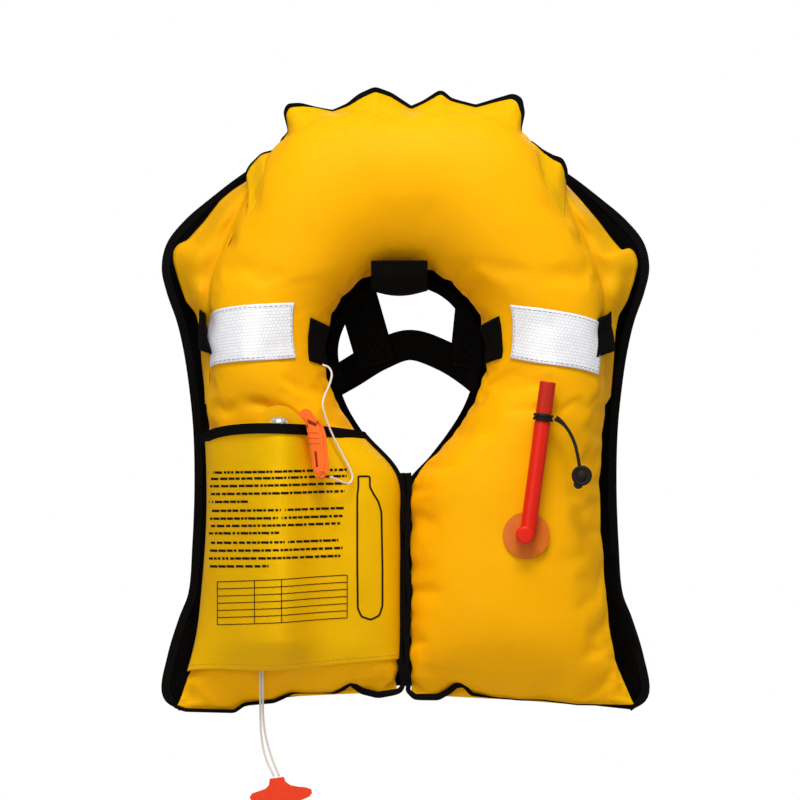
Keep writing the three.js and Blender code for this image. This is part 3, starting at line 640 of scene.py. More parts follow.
def chamber_shape(lift):
    """The chamber's rows of points, moved out by lift except at the two welds."""
    points = []
    for ring in range(RINGS + 1):
        for side in range(SIDES):
            angle = ring_angle(side)
            points.append(chamber_point(ring / RINGS, angle, lift * abs(math.sin(angle)) ** 0.5))
    return points


def make_chamber():
    points = chamber_shape(-START_SMALLER)
    faces = grid_faces(RINGS + 1, SIDES, wrap=True)
    faces.append(tuple(reversed(range(SIDES))))
    faces.append(tuple(range(RINGS * SIDES, (RINGS + 1) * SIDES)))
    piece = add_mesh("air_chamber", points, faces, CHAMBER_CLOTH)
    recalculate(piece)
    inflate(piece, points)
    limit_depth(piece)
    piece.modifiers.new("smooth", "SUBSURF").levels = 1
    dense = bpy.data.meshes.new_from_object(piece.evaluated_get(bpy.context.evaluated_depsgraph_get()))
    piece.modifiers.clear()
    piece.data = dense
    for vertex in dense.vertices:
        vertex.co.z = max(vertex.co.z, foot_height(vertex.co.x))
    return finish_piece(piece, replaces=("bladder",))


def seam_weight(index):
    """How firmly a vertex is held: fully at both seams and at the two feet."""
    ring, side = divmod(index, SIDES)
    if ring in (0, 1, RINGS - 1, RINGS):
        return 1.0
    angle = ring_angle(side) % math.pi
    return 1.0 if min(angle, math.pi - angle) < WELD_ANGLE else 0.0


def inflate(piece, points):
    """Blows the chamber up as cloth held at its welds, and keeps the result."""
    group = piece.vertex_groups.new(name="held")
    held = [index for index in range(len(points)) if seam_weight(index) > 0]
    group.add(held, 1.0, "REPLACE")
    cloth = piece.modifiers.new("cloth", "CLOTH")
    settings = cloth.settings
    settings.quality = 5
    settings.mass = 0.15
    settings.tension_stiffness = settings.compression_stiffness = 18
    settings.shear_stiffness = 6
    settings.bending_stiffness = 0.25
    settings.use_pressure = True
    settings.uniform_pressure_force = 4
    settings.shrink_min = -0.035
    settings.effector_weights.gravity = 0
    settings.vertex_group_mass = "held"
    settings.pin_stiffness = 1
    cloth.collision_settings.use_collision = False
    scene = bpy.context.scene
    scene.frame_start, scene.frame_end = 1, 20
    for frame_number in range(1, 21):
        scene.frame_set(frame_number)
    blown = piece.evaluated_get(bpy.context.evaluated_depsgraph_get()).to_mesh()
    moved = [vertex.co.copy() for vertex in blown.vertices]
    piece.modifiers.remove(cloth)
    piece.vertex_groups.clear()
    scene.frame_set(1)
    for vertex, start, end in zip(piece.data.vertices, points, moved):
        step = end - start
        vertex.co = start + step * min(1.0, SWELL_LIMIT * MM / max(step.length, 1e-6))


def limit_depth(piece):
    """Keeps the chamber behind the hardware on its front, and in front of the cover at its back."""
    for vertex, point in zip(piece.data.vertices, chamber_shape(0)):
        if point.y < SEAM_Y:
            vertex.co.y = max(vertex.co.y, point.y - DEPTH_LIMIT * MM)
        else:
            vertex.co.y = min(vertex.co.y, point.y + DEPTH_LIMIT * MM)


def surface_tree(piece):
    bm = bmesh.new()
    evaluated = piece.evaluated_get(bpy.context.evaluated_depsgraph_get())
    bm.from_mesh(evaluated.to_mesh())
    bm.transform(piece.matrix_world)
    tree = BVHTree.FromBMesh(bm)
    bm.free()
    return tree


def on_chamber(u, angle, lift):
    """A point at a height in millimetres above the blown-up cloth."""
    foot = chamber_point(u, angle)
    out = (chamber_point(u, angle, 10) - foot).normalized()
    hit, _, _, _ = CHAMBER_TREE.ray_cast(foot + out * 0.03, -out, 0.06)
    return (hit if hit is not None else foot) + out * lift * MM


def front_depth(tree, x, z):
    """Depth of the surface met from the front at x, z, or None."""
    hit, _, _, _ = tree.ray_cast(Vector((x, -0.5, z)), Vector((0, 1, 0)))
    return None if hit is None else hit.y


# ---- rims: the flat weld margin round the chamber and the tape on it ----
# Outline of the crown's margin, in millimetres of the row frame, left to right, and the tape's width there.
CROWN_RIM = [
    (-147, 72, 1.5), (-153, 79, 1.5), (-149, 86, 1.5), (-138, 97, 1.2), (-119.5, 101, 2.2), (-118.6, 109.6, 2.6),
    (-111.8, 118, 1.2), (-115.7, 136.5, 2.4), (-112.8, 143.2, 3), (-101.3, 144.2, 2.4), (-86, 141.3, 1),
    (-70, 137.4, 2.4), (-55, 143.2, 3.6), (-43.7, 151.8, 4.4), (-29.3, 158, 5), (-14.9, 152.8, 5),
    (5.3, 139.4, 5), (18.7, 146.1, 3.8), (34, 155.7, 4.4), (42.7, 148.6, 3.6), (50.4, 146.1, 3.6),
    (67.7, 141.3, 4), (85.9, 147, 4), (103.2, 151.8, 4.6), (109, 149, 5), (111.8, 136.5, 4.2),
    (109.9, 121.1, 2.2), (111.5, 112.5, 1), (122.4, 107.7, 1), (131, 100, 2), (141.6, 93.3, 3.4),
    (149.3, 90.4, 4.4), (152.2, 82.7, 5), (153.1, 73, 5)]


def densify(points, count, passes=0):
    """Evenly spaced points along a polyline of given ones, rounded by a few passes of averaging."""
    table = np.array([tuple(point) for point in points], float)
    runs = run_lengths(table[:, :3])
    at = np.linspace(0, runs[-1], count)
    line = np.stack([np.interp(at, runs, table[:, axis]) for axis in range(table.shape[1])], axis=1)
    for _ in range(passes):
        line[1:-1] = (line[:-2] + 2 * line[1:-1] + line[2:]) / 4
    return [Vector(point) for point in line]


def make_crown():
    line = densify([(x, 0, z, width) for x, z, width in CROWN_RIM], 300, 3)
    rim, widths = [], []
    for index, (x, _, z, width) in enumerate(line):
        sway = 3.5 * math.sin(index * 0.12) * math.sin(index * 0.031 + 1)
        rim.append(Vector((x * MM, SEAM_Y + sway * MM, z * MM)))
        widths.append(width * MM)
    last = len(rim) - 1
    for name, angle in (("crown_margin_front", 0.52), ("crown_margin_back", -0.30)):
        grid = []
        for index, point in enumerate(rim):
            u = lerp(station(9.9), station(right_of(9.9)), index / last)
            root = on_chamber(u, angle, -0.4)
            deep = chamber_point(u, angle * 0.45)
            line = []
            for step in range(11):
                t = step / 10
                spot = lerp(root, point, t)
                # the margin leaves the tube along its own curve, then runs flat to the tape
                hug = math.exp(-((t - 0.3) / 0.22) ** 2)
                spot.y = lerp(spot.y, deep.y, 0.25 * hug)
                fold = noise.noise(Vector((point.x * 42, angle * 9, 0.5))) * 0.0045
                spot.y += fold * math.sin(math.pi * t)
                line.append(spot)
            grid.append(line)
        margin = grid_sheet(name, grid, CHAMBER_CLOTH, 0.0010, 0.0)
        finish_piece(margin)
    taped = []
    for point, width in zip(rim, widths):
        inward = Vector((-point.x, 0, -point.z)).normalized()
        taped.append(point + inward * width * 0.2 + Vector((0, -0.0012, 0)))
    tape = strap("crown_tape", taped, Vector((0, -1, 0)), [width * 1.6 for width in widths], 0.0036, TAPE)
    finish_piece(tape, replaces=("crown_binding",))


# ---- shoulders: flat cloth outside the tube ----
SHOULDER_EDGES = {  # outer edge of each, bottom to top, in millimetres of the row frame
    -1: [(-191.5, -136), (-195.4, -101), (-197, -72), (-201, -55.5), (-210.7, -44), (-217.4, -24.8), (-223, -5.6),
         (-223, 4), (-218, 10.7), (-209.8, 13.6), (-192.5, 32.8), (-178, 52), (-166.6, 61.6), (-147, 74)],
    1: [(196.3, -136), (199.2, -102), (201, -75), (204, -58.4), (212.6, -44), (219.4, -24.8), (223.2, -7.5),
        (220.5, 2), (215.5, 6.9), (207.8, 4), (199.2, 13.6), (184.8, 32.8), (168.5, 52), (150, 72)]}


def make_shoulder(name, sign, node):
    outer = densify([(x, 0, z) for x, z in SHOULDER_EDGES[sign]], 90, 1)
    grid = []
    for index, (x, _, z) in enumerate(outer):
        share = index / (len(outer) - 1)
        number = np.interp(share, [0, 0.12, 0.25, 0.55, 1], [6.15, 7.0, 7.9, 9.0, 10.35])
        u = station(number if sign < 0 else right_of(number))
        root = smooth_chamber(u, 0.16, -3.0)
        seam = smooth_chamber(u, 0.0, 0.3)
        edge_y = lerp(-0.052, -0.040, smoothstep(share, 0.1, 0.5))
        puff = smoothstep(share, 0.2, 0.5)
        line = []
        for step in range(19):
            t = step / 18
            # down the side of the tube to its seam, then out as loose cloth
            if t < 0.2:
                spot = lerp(root, seam, t / 0.2)
            else:
                out = (t - 0.2) / 0.8
                spot = lerp(seam, Vector((x * MM, edge_y, z * MM)), out)
                ripple = noise.noise(spot * 24 + Vector((sign, 4, 0))) * 5 + noise.noise(spot * 55) * 2
                pull = 3.5 * math.sin(share * 31 + out * 2.2) * (1 - out)
                swell = 9 * math.sin(math.pi * out ** 0.75)
                spot.y -= ((swell + ripple) * math.sin(math.pi * out) + pull * math.sin(math.pi * out)) * puff * MM
            line.append(spot)
        grid.append(line)
    piece = grid_sheet(name, grid, SHOULDER_CLOTH, 0.0012, 0.0)
    return finish_piece(piece, replaces=(node,))


# ---- black cover behind the chamber ----
COVER_SIDE = [  # inner edge, outer edge, in millimetres from the neck datum
    ((0.3, -394), (216, -417)), ((0.3, -380), (230, -402)), ((0.3, -350), (225, -366)), ((0.3, -315), (214, -330)),
    ((0.3, -300), (205, -306)), ((0.3, -255), (201, -258)), ((0.5, -225), (199, -205)), ((2, -199), (200, -150)),
    ((23, -174), (203.5, -112)), ((40, -152), (209, -74)), ((56, -126), (216, -43)), ((66, -98), (226, -14)),
    ((70, -74), (230.5, 8)), ((68, -58), (226, 30)), ((61, -41), (209, 52)), ((54, -31), (187, 72)),
    ((45, -21), (166, 90)), ((34, -13), (148, 104)), ((20, -7), (110, 136)), ((9, -4), (60, 146))]


def cover_tables():
    left = [((-ix, iz), (-ox, oz)) for (ix, iz), (ox, oz) in COVER_SIDE]
    loop = left + [((0, -3), (0, 146))] + list(reversed(COVER_SIDE))
    return (np.array([(x, 0, z) for (x, z), _ in loop], float), np.array([(x, 0, z) for _, (x, z) in loop], float))


COVER_INNER, COVER_OUTER = cover_tables()


def cover_point(u, t, lift=0.0):
    """The cover from its inner edge (t 0) to its outer edge (t 1), curling forward round the lobes."""
    inner, outer = catmull(COVER_INNER, u), catmull(COVER_OUTER, u)
    place = inner + (outer - inner) * t
    lobe = 1 - math.exp(-((u - 0.5) / 0.16) ** 4)
    curl = -24 * smoothstep(t, 0.55, 1.0) * lobe - 3 * smoothstep(1 - t, 0.8, 1.0)
    wave = noise.noise(Vector((place[0], 0, place[2])) * 0.011) * 5 * smoothstep(t, 0.3, 0.9)
    point = datum(place[0], place[2], 1.2 + curl + wave)
    point.y += lift
    return point


def make_cover():
    seams = {"cover_panel_left": (0.0, 0.42, "cover_left"), "cover_panel_collar": (0.42, 0.58, "cover_collar"),
             "cover_panel_right": (0.58, 1.0, "cover_right")}
    for name, (start, end, node) in seams.items():
        rows = round((end - start) * 240)
        grid = [[cover_point(lerp(start, end, row / rows), column / 26) for column in range(27)]
                for row in range(rows + 1)]
        piece = grid_sheet(name, grid, COVER_CLOTH, 0.0012, 0.0)
        finish_piece(piece, replaces=(node,))
    for name, u in (("cover_seam_left", 0.42), ("cover_seam_right", 0.58)):
        line = [cover_point(u, step / 30, 0.0012) for step in range(31)]
        finish_piece(strap(name, line, Vector((0, 1, 0)), 0.007, 0.0012, TAPE))
    outer = [cover_point(step / 260, 1.0) for step in range(0, 113)]
    for name, sign, node in (("edge_tape_left", 1, "edge_binding_left"),
                             ("edge_tape_right", -1, "edge_binding_right")):
        line = [Vector((point.x * sign, point.y, point.z)) for point in outer]
        widths = [lerp(0.004, 0.0085, smoothstep(index, 0, 5)) * lerp(1, 0.35, smoothstep(index, 88, 112))
                  for index in range(len(line))]
        piece = strap(name, line, Vector((0, -1, 0)), widths, 0.0030, TAPE)
        finish_piece(piece, replaces=(node,))
    neck = [cover_point(lerp(0.265, 0.735, step / 160), 0.0, -0.0006) for step in range(161)]
    piece = strap("neck_tape", neck, Vector((0, -1, 0)), 0.010, 0.0040, TAPE)
    finish_piece(piece, replaces=("neck_binding",))
    for sign, node in ((-1, "front_binding_left"), (1, "front_binding_right")):
        run, widths = [], []
        for step in range(81):
            z = lerp(-0.209, -0.413, step / 80)
            run.append(Vector((sign * 0.0026 - 0.0008 + 0.0014 * math.sin(step * 0.17), SEAM_Y - 0.003, z)))
            widths.append(0.0062 + 0.0012 * math.sin(step * 0.31 + sign))
        piece = strap(node.replace("binding", "tape"), run, Vector((0, -1, 0)), widths, 0.0046, TAPE)
        finish_piece(piece, replaces=(node,))


# ---- bands, tab and reflective tape on the chamber ----
def laid_grid(start, end, angles, rows, columns, lift, stand_off=0):
    """Points on the chamber. Start and end are station numbers at the first and at the last angle, and angles are
    those two for the start row and for the end row."""
    grid = []
    for row in range(rows + 1):
        line = []
        for column in range(columns + 1):
            across = column / columns
            number = lerp(lerp(start[0], start[1], across), lerp(end[0], end[1], across), row / rows)
            first = lerp(angles[0][0], angles[1][0], row / rows)
            last = lerp(angles[0][1], angles[1][1], row / rows)
            angle = lerp(first, last, across)
            stand = stand_off * math.exp(-((angle + 8) / 30) ** 4)
            line.append(on_chamber(station(number), math.radians(angle), lift + stand))
        grid.append(line)
    return grid


def settle(grid):
    """Smooths a laid grid inside its border, as stiff tape bridges small wrinkles."""
    table = np.array([[tuple(point) for point in line] for line in grid])
    for _ in range(6):
        table[1:-1, 1:-1] = (table[1:-1, 1:-1] * 2 + table[:-2, 1:-1] + table[2:, 1:-1]
                             + table[1:-1, :-2] + table[1:-1, 2:]) / 6
    return [[Vector(point) for point in line] for line in table]


TAPES = {  # start and end stations at the outer and the inner end, and their angles
    "left": ((6.94, 7.62), (8.08, 8.98), ((24, 122), (9, 111.5))),
    "right": ((6.80, 7.65), (7.98, 8.98), ((34, 129), (26, 118.5)))}
BANDS = {"left": ((7.63, 7.28), (8.74, 8.19)), "right": ((7.71, 7.21), (8.79, 8.11))}
BAND_STARTS = (-218, -223)
BAND_STAND_OFF = 8           # the band leaves the tube's side to reach the cover


def make_bands():
    for side, number in (("left", lambda n: n), ("right", right_of)):
        start, end, angles = TAPES[side]
        start, end = tuple(map(number, start)), tuple(map(number, end))
        tape = settle([list(line) for line in zip(*laid_grid(start, end, angles, 24, 64, 1.5))])
        piece = grid_sheet("reflector_" + side, tape, REFLECTIVE, 0.0008, 0.0)
        finish_piece(piece, replaces=("reflective_tape_" + side,))
        stitch_border(side, start, end, angles)
        low, high = (tuple(map(number, pair)) for pair in BANDS[side])
        ends = tuple((begin, pair[0] + 4) for begin, pair in zip(BAND_STARTS, angles))
        band = laid_grid(low, high, ends, 12, 120, 1.0, BAND_STAND_OFF)
        piece = grid_sheet("holding_band_" + side, [list(line) for line in zip(*band)], WEBBING, 0.0018, 0.0)
        finish_piece(piece, replaces=("retaining_band_" + side,))


def stitch_border(side, start, end, angles):
    inset_along, inset_across = 0.022, 0.05
    corners = [(inset_along, inset_across), (1 - inset_along, inset_across), (1 - inset_along, 1 - inset_across),
               (inset_along, 1 - inset_across), (inset_along, inset_across)]
    line = []
    for (a0, b0), (a1, b1) in zip(corners, corners[1:]):
        for step in range(40):
            across, row = lerp(a0, a1, step / 40), lerp(b0, b1, step / 40)
            number = lerp(lerp(start[0], start[1], across), lerp(end[0], end[1], across), row)
            angle = lerp(lerp(angles[0][0], angles[1][0], row), lerp(angles[0][1], angles[1][1], row), across)
            line.append(on_chamber(station(number), math.radians(angle), 1.9))
    piece = stitches("reflector_stitch_" + side, line, THREAD_GREY, 0.0034, 0.0016, 0.0008, Vector((0, -1, 0)))
    finish_piece(piece)


def stitches(name, line, material, length, gap, width, facing):
    """Short thread stitches laid along a line of points."""
    runs = run_lengths(line)
    table = np.array([tuple(point) for point in line])
    verts, faces = [], []
    start = 0.0
    while start + length < runs[-1]:
        ends = [Vector([np.interp(at, runs, table[:, axis]) for axis in range(3)]) for at in (start, start + length)]
        along = (ends[1] - ends[0]).normalized()
        side = along.cross(facing).normalized() * width / 2
        up = side.normalized().cross(along) * width * 0.5
        base = len(verts)
        for end, lean in ((ends[0], 0.3), ((ends[0] + ends[1]) / 2, 1.0), (ends[1], 0.3)):
            verts += [end - side, end + up * lean, end + side, end - up * lean]
        for ring in (0, 4):
            for corner in range(4):
                after = (corner + 1) % 4
                low = base + ring
                faces.append((low + corner, low + after, low + 4 + after, low + 4 + corner))
        faces.append((base, base + 3, base + 2, base + 1))
        faces.append((base + 8, base + 9, base + 10, base + 11))
        start += length + gap
    piece = add_mesh(name, verts, faces, material)
    recalculate(piece)
    return piece


def make_collar_tab():
    low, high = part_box("collar_tab")
    run = spline([Vector((0, low.y + 0.001, high.z - 0.001)), Vector((0, low.y + 0.007, high.z - 0.015)),
                  Vector((0, low.y + 0.021, low.z + 0.004)), Vector((0, lerp(low.y, high.y, 0.52), low.z + 0.001)),
                  Vector((0, high.y - 0.016, low.z + 0.0025)), Vector((0, high.y, low.z + 0.007))], 40)
    columns = 28
    grid = []
    for index, point in enumerate(run):
        line = []
        for column in range(columns + 1):
            across = column / columns
            sag = 5 * math.sin(math.pi * across) * smoothstep(index / 39, 0.05, 0.4)
            line.append(Vector((lerp(low.x, high.x, across), point.y, point.z + (2.5 - sag) * MM)))
        grid.append(line)
    piece = grid_sheet("collar_webbing", grid, WEBBING, 0.0018, 0.0, 1)
    finish_piece(piece, replaces=("collar_tab",))


# ---- bottom seam tape ----
def make_foot_tapes():
    for name, side in (("foot_tape_left", -1), ("foot_tape_right", 1)):
        line = densify([(x, 0, z) for x, z in FOOT_TAPES[side]], 120, 1)
        widths = []
        for x, _, z in line:
            near = math.exp(-((abs(x) - 28) / 26) ** 4)
            thin = math.exp(-((x + 88) / 22) ** 4) if side < 0 else smoothstep(x, 60, 90) * 0.8
            widths.append((3.6 + 2.8 * near) * (1 - 0.75 * thin) * MM)
        run = [Vector((x * MM, SEAM_Y - 0.007, z * MM + 0.0007)) for x, _, z in line]
        piece = strap(name, run, Vector((0, -1, 0)), widths, 0.0034, TAPE)
        finish_piece(piece)


# ---- webbing harness behind the cover ----
def hanging_run(points, tilt, x, z):
    """A strap's middle line: a side run of (y, z) points, turned by tilt in the strap's own plane."""
    return spline([datum(x + height * math.sin(tilt), z + height * math.cos(tilt), y) for y, height in points], 48)


def box_stitch(name, middle, along, across, long, wide, facing):
    """A sewn box with a cross in it."""
    corners = [(-1, -1), (1, -1), (1, 1), (-1, 1), (-1, -1), (1, 1), (1, -1), (-1, 1)]
    line = [middle + along * (a * long / 2) + across * (b * wide / 2) for a, b in corners]
    piece = stitches(name, densify(line, 160), THREAD_BLACK, 0.0026, 0.0009, 0.0008, facing)
    finish_piece(piece)


STITCH_LIFT = 0.0014


def sew_end(name, run, index, width, side):
    """A box stitch on a strap near one point of its run."""
    point = run[index]
    along = (run[index + 1] - run[index - 1]).normalized()
    across = along.cross(Vector((0, 1, 0))).normalized()
    facing = across.cross(along).normalized() * side
    box_stitch(name, point + facing * STITCH_LIFT, along, across, width * 0.75, width * 0.75, facing)


BACK_RUN = [(5, 30), (6, 8), (11, -14), (14, -40), (15, -70), (14.5, -88)]
LOWER_RUN = [(22.2, 60), (25, 20), (29, -30), (33, -84)]
CROSS_RUN = [(-88, -112), (-55, -94), (-25, -76), (4, -66), (36, -76), (62, -92), (92, -118)]
BELT_RUN = [(-166, 6), (-182, 7), (-189, 13), (-184, 22), (-150, 40), (-80, 58), (0, 64), (80, 58), (150, 40),
            (184, 22), (189, 13), (182, 7), (166, 6)]
LOOP_RUN = [(-13, 1), (-12.5, 17), (-8, 23.5), (0, 26), (8, 23.5), (12.5, 17), (13, 1)]
BELT_Z = -270
BELT_Y = 6
BELT_WIDTH = 0.040
STRAP_WIDTH = 0.038
WEB = 0.0019


def make_harness():
    facing = Vector((0, 1, 0))
    for name, run, tilt, x, z in (
            ("back_strap_left", BACK_RUN, -0.28, -52, 0), ("back_strap_right", BACK_RUN, 0.1, 70, 0),
            ("lower_strap_left", LOWER_RUN, 0.42, -113, -172), ("lower_strap_right", LOWER_RUN, -0.42, 113, -172)):
        line = hanging_run(run, tilt, x, z)
        piece = strap(name.replace("strap", "webbing"), line, facing, STRAP_WIDTH, WEB, WEBBING)
        finish_piece(piece, replaces=(name,))
        sew_end(name + "_stitch", line, 8, STRAP_WIDTH, 1)
        sew_end(name + "_foot_stitch", line, 39, STRAP_WIDTH, -1)
    cross = spline([datum(x, z, 19) for x, z in CROSS_RUN], 60)
    piece = strap("cross_webbing", cross, facing, 0.0295, WEB, WEBBING)
    finish_piece(piece, replaces=("cross_strap",))
    for index in (6, 53):
        sew_end(f"cross_stitch_{index}", cross, index, 0.026, -1)
    belt = spline([datum(x, BELT_Z, y) for x, y in BELT_RUN], 120)
    normals = []
    for index in range(len(belt)):
        along = belt[min(index + 1, 119)] - belt[max(index - 1, 0)]
        normals.append(along.cross(Vector((0, 0, 1))).normalized())
    piece = strap("belt_webbing_back", belt, normals, BELT_WIDTH, WEB, WEBBING)
    finish_piece(piece, replaces=("belt_back",))
    for name, x0, x1, body in (("belt_left", -165.4, -43.4, JACKET), ("belt_right", 31, 127, "male_buckle")):
        line = [datum(lerp(x0, x1, step / 30), BELT_Z, BELT_Y) for step in range(31)]
        piece = strap(name.replace("belt", "belt_webbing"), line, facing, BELT_WIDTH, WEB, WEBBING)
        finish_piece(piece, body, (name,))
    loop = spline([datum(x, z, 3.6) for x, z in LOOP_RUN], 60)
    inward = [point + (datum(0, 10, 3.6) - point).normalized() * 0.003 for point in loop]
    piece = strap("hang_loop_tape", inward, facing, 0.0058, 0.0015, WEBBING)
    finish_piece(piece, replaces=("hang_loop",))


# ---- pocket flap ----
BULGE, BULGE_OUT, BULGE_IN, BULGE_FOOT = 43, 45, 27, 9
PIERCE_X = centre("gas_bottle").x / MM
FLAP_ANGLES = (3, 175)
CORD_X = -0.138               # where the pull cords come out from under the hem


def pocket_bulge(point):
    fade = smoothstep(point.z / MM + HANG_RISE / MM, -394, -346)
    width = BULGE_OUT if point.x / MM < PIERCE_X else BULGE_IN
    return lerp(BULGE_FOOT, BULGE, fade) * math.exp(-((point.x / MM - PIERCE_X) / width) ** 2)


def flap_point(share, across, lift=0.0):
    """The flap from its foot (share 0) to its top edge (1), from the outer seam (across 0) to the inner (1)."""
    arch = 0.21 * math.sin(math.pi * across) * share ** 4
    sag = -0.10 * math.exp(-((across - 0.46) / 0.16) ** 2) * (1 - share) ** 3
    number = lerp(lerp(1.2, 1.55, across), lerp(5.53, 6.0, across), share) + arch + sag
    angle = math.radians(lerp(*FLAP_ANGLES, across))
    point = smooth_chamber(station(number), angle, 2.6 + lift)
    edge = math.sin(math.pi * across)
    droop = noise.noise(point * 16 + Vector((5, 0, 1))) * 2.4 + noise.noise(point * 42) * 1.1
    pull = math.sin(across * 26 + 6 * share) * 0.8 * (1 - share) * edge
    point.y -= (pocket_bulge(point) + (droop + pull) * edge) * MM
    # room behind the hem for the two pull cords
    point.y -= 0.008 * math.exp(-((point.x - CORD_X) / 0.030) ** 2 - ((point.z + 0.40) / 0.036) ** 2)
    met = front_depth(CHAMBER_TREE, point.x, point.z)
    if met is not None and across < 0.93:
        point.y = min(point.y, met - (1.5 + lift) * MM)
    return point


def make_flap():
    rows, columns = 84, 90
    grid = [[flap_point(row / rows, column / columns) for column in range(columns + 1)] for row in range(rows + 1)]
    piece = grid_sheet("pocket_flap", grid, FLAP_CLOTH, 0.0009, 0.0)
    finish_piece(piece, replaces=("inflator_flap",))
    top = [flap_point(0.978, column / 120, 1.2) for column in range(121)]
    tape = strap("flap_tape", top, Vector((0, -1, 0.05)), 0.0100, 0.0024, TAPE)
    finish_piece(tape, replaces=("flap_binding",))
    side = [flap_point(lerp(0.76, 0.99, step / 40), 1.0, 1.0) for step in range(41)]
    finish_piece(strap("flap_side_tape", side, Vector((0.3, -1, 0)), 0.0075, 0.0022, TAPE))
    hem = [flap_point(0.03, column / 100, 0.7) for column in range(101)]
    finish_piece(stitches("hem_stitch", hem, THREAD_YELLOW, 0.003, 0.0015, 0.0006, Vector((0, -1, 0))))
    return piece


# ---- generic print on the flap: bars for text lines, a form grid and a bottle outline ----
INK_LIFT = 0.00035


def ink_point(tree, x, z):
    """A point of the print, just proud of the cloth."""
    met = front_depth(tree, x, z)
    return Vector((x, (SEAM_Y if met is None else met) - INK_LIFT, z))


def print_bars(tree, bars):
    """Thin ink quads from (x0, z0, x1, z1) boxes in millimetres of the row frame, laid on the cloth."""
    verts, faces = [], []
    for x0, z0, x1, z1 in bars:
        steps = max(1, int(max(abs(x1 - x0), abs(z1 - z0)) / 3))
        wide = abs(x1 - x0) >= abs(z1 - z0)
        base = len(verts)
        for step in range(steps + 1):
            t = step / steps
            x, z = lerp(x0, x1, t), lerp(z0, z1, t)
            for x, z in ([(x, z0), (x, z1)] if wide else [(x0, z), (x1, z)]):
                verts.append(ink_point(tree, x * MM, z * MM))
        for step in range(steps):
            a = base + 2 * step
            faces.append((a, a + 1, a + 3, a + 2))
    return verts, faces


def text_bars():
    """Rows of short bars that read as small print from afar and carry no letters."""
    bars = []
    rows = [(-189, -56, -210), (-186, -56, -216), (-187, -56, -223), (-186, -58, -230.5), (-188, -150, -238),
            (-185, -58, -246.5), (-187, -60, -254), (-186, -62, -261), (-188, -120, -268), (-186, -64, -277),
            (-187, -60, -284.5), (-188, -62, -292), (-187, -130, -299.5)]
    for start, end, z in rows:
        x = start
        while x < end:
            length = min(random.choice((2.6, 4.2, 5.8, 7.4)), end - x)
            low = z + (x + 190) / 134 * 3.2
            bars.append((x, low + 0.2, x + length, low + 2.5))
            x += length + random.choice((0.8, 1.0, 1.6))
    return bars


def form_grid():
    bars = []
    left, right, top, foot = -180, -56, -313, -354
    lean = 0.055
    rows = 6
    for row in range(rows + 1):
        z = lerp(top, foot, row / rows)
        for step in range(20):
            x0, x1 = lerp(left, right, step / 20), lerp(left, right, (step + 1) / 20)
            height = z + (x0 - left) * lean
            bars.append((x0, height, x1 + 0.1, height + 0.8))
    for x in (left, left + 36, left + 62, right):
        rise = (x - left) * lean
        bars.append((x, foot + rise, x + 0.8, top + rise))
    return bars


def bottle_outline():
    """A gas bottle drawn in line: neck, shoulders and a round foot."""
    points = [(-45, -212), (-34, -212), (-34, -222), (-31, -228), (-26, -236), (-23, -246), (-22, -300), (-22, -336),
              (-25, -345), (-33, -349), (-42, -346), (-45.5, -338), (-46, -300), (-46, -246), (-46, -230),
              (-45, -222), (-45, -212)]
    return [Vector((x * MM, 0, z * MM)) for x, z in points]


def make_print(tree):
    bars = text_bars() + form_grid()
    verts, faces = print_bars(tree, bars)
    line = densify(bottle_outline(), 260, 2)
    width = 0.0009
    for index, point in enumerate(line):
        before, after = line[max(index - 1, 0)], line[min(index + 1, len(line) - 1)]
        run = (after - before).normalized()
        side = Vector((-run.z, 0, run.x)) * width
        for spot in (point - side, point + side):
            verts.append(ink_point(tree, spot.x, spot.z))
        if index:
            a = len(verts) - 4
            faces.append((a, a + 1, a + 3, a + 2))
    piece = add_mesh("flap_print", verts, faces, PRINT)
    finish_piece(piece)


# ---- cords ----
CORD = 0.002


def cord_route(points):
    """Given route points, millimetres from the neck datum, as smooth points in the row frame."""
    return spline([datum(x, z, y) for x, y, z in points], 110)


def cord_piece(name, points, diameter, material):
    curve = bpy.data.curves.new(name, "CURVE")
    curve.dimensions = "3D"
    curve.bevel_depth = diameter / 2
    curve.bevel_resolution = 4
    curve.use_fill_caps = True
    line = curve.splines.new("POLY")
    line.points.add(len(points) - 1)
    for target, point in zip(line.points, points):
        target.co = (*point, 1)
    curve.materials.append(material)
    piece = bpy.data.objects.new(name, curve)
    bpy.context.scene.collection.objects.link(piece)
    return piece


LEVER_TIP = (-143.63, -157.4)
HANDLE_X = -123


def pull_route(side):
    spread = side * 1.3
    return cord_route([
        (LEVER_TIP[0] + spread, -131, LEVER_TIP[1] - 6), (-141.3 + spread, -131, -185),
        (-141.3 + spread, -130, -260), (-140.6 + spread, -120, -322), (-139 + spread, -106, -352),
        (-137.6 + spread, -93.5, -384), (-137.3 + spread, -92, -420), (-136 + 1.5 * spread, -92, -438),
        (-131 + 2.2 * spread, -92.5, -460), (HANDLE_X + 1.9 * spread, -93, -478.8)])


def make_cords():
    for name, side, node in (("pull_cord_left", -1, "pull_cord_outer"), ("pull_cord_right", 1, "pull_cord_inner")):
        route = pull_route(side)
        piece = cord_piece(name, route, CORD, CORD_WHITE)
        finish_piece(piece, "handle", (node,))
    route = cord_route([
        (-79.6, -91, -85.5), (-73.5, -91, -88), (-70.5, -94, -94), (-72.5, -99, -104), (-77.5, -106, -116),
        (-79, -111, -124), (-76, -112, -136), (-69.5, -114, -152.6), (-60.5, -115, -170.4), (-52.5, -115, -186),
        (-50.6, -116, -193), (-53.4, -120, -198.4), (-59.5, -127, -197.5), (-71.6, -139, -192)])
    piece = cord_piece("whistle_cord", route, CORD, CORD_WHITE)
    finish_piece(piece, replaces=("whistle_lanyard",))


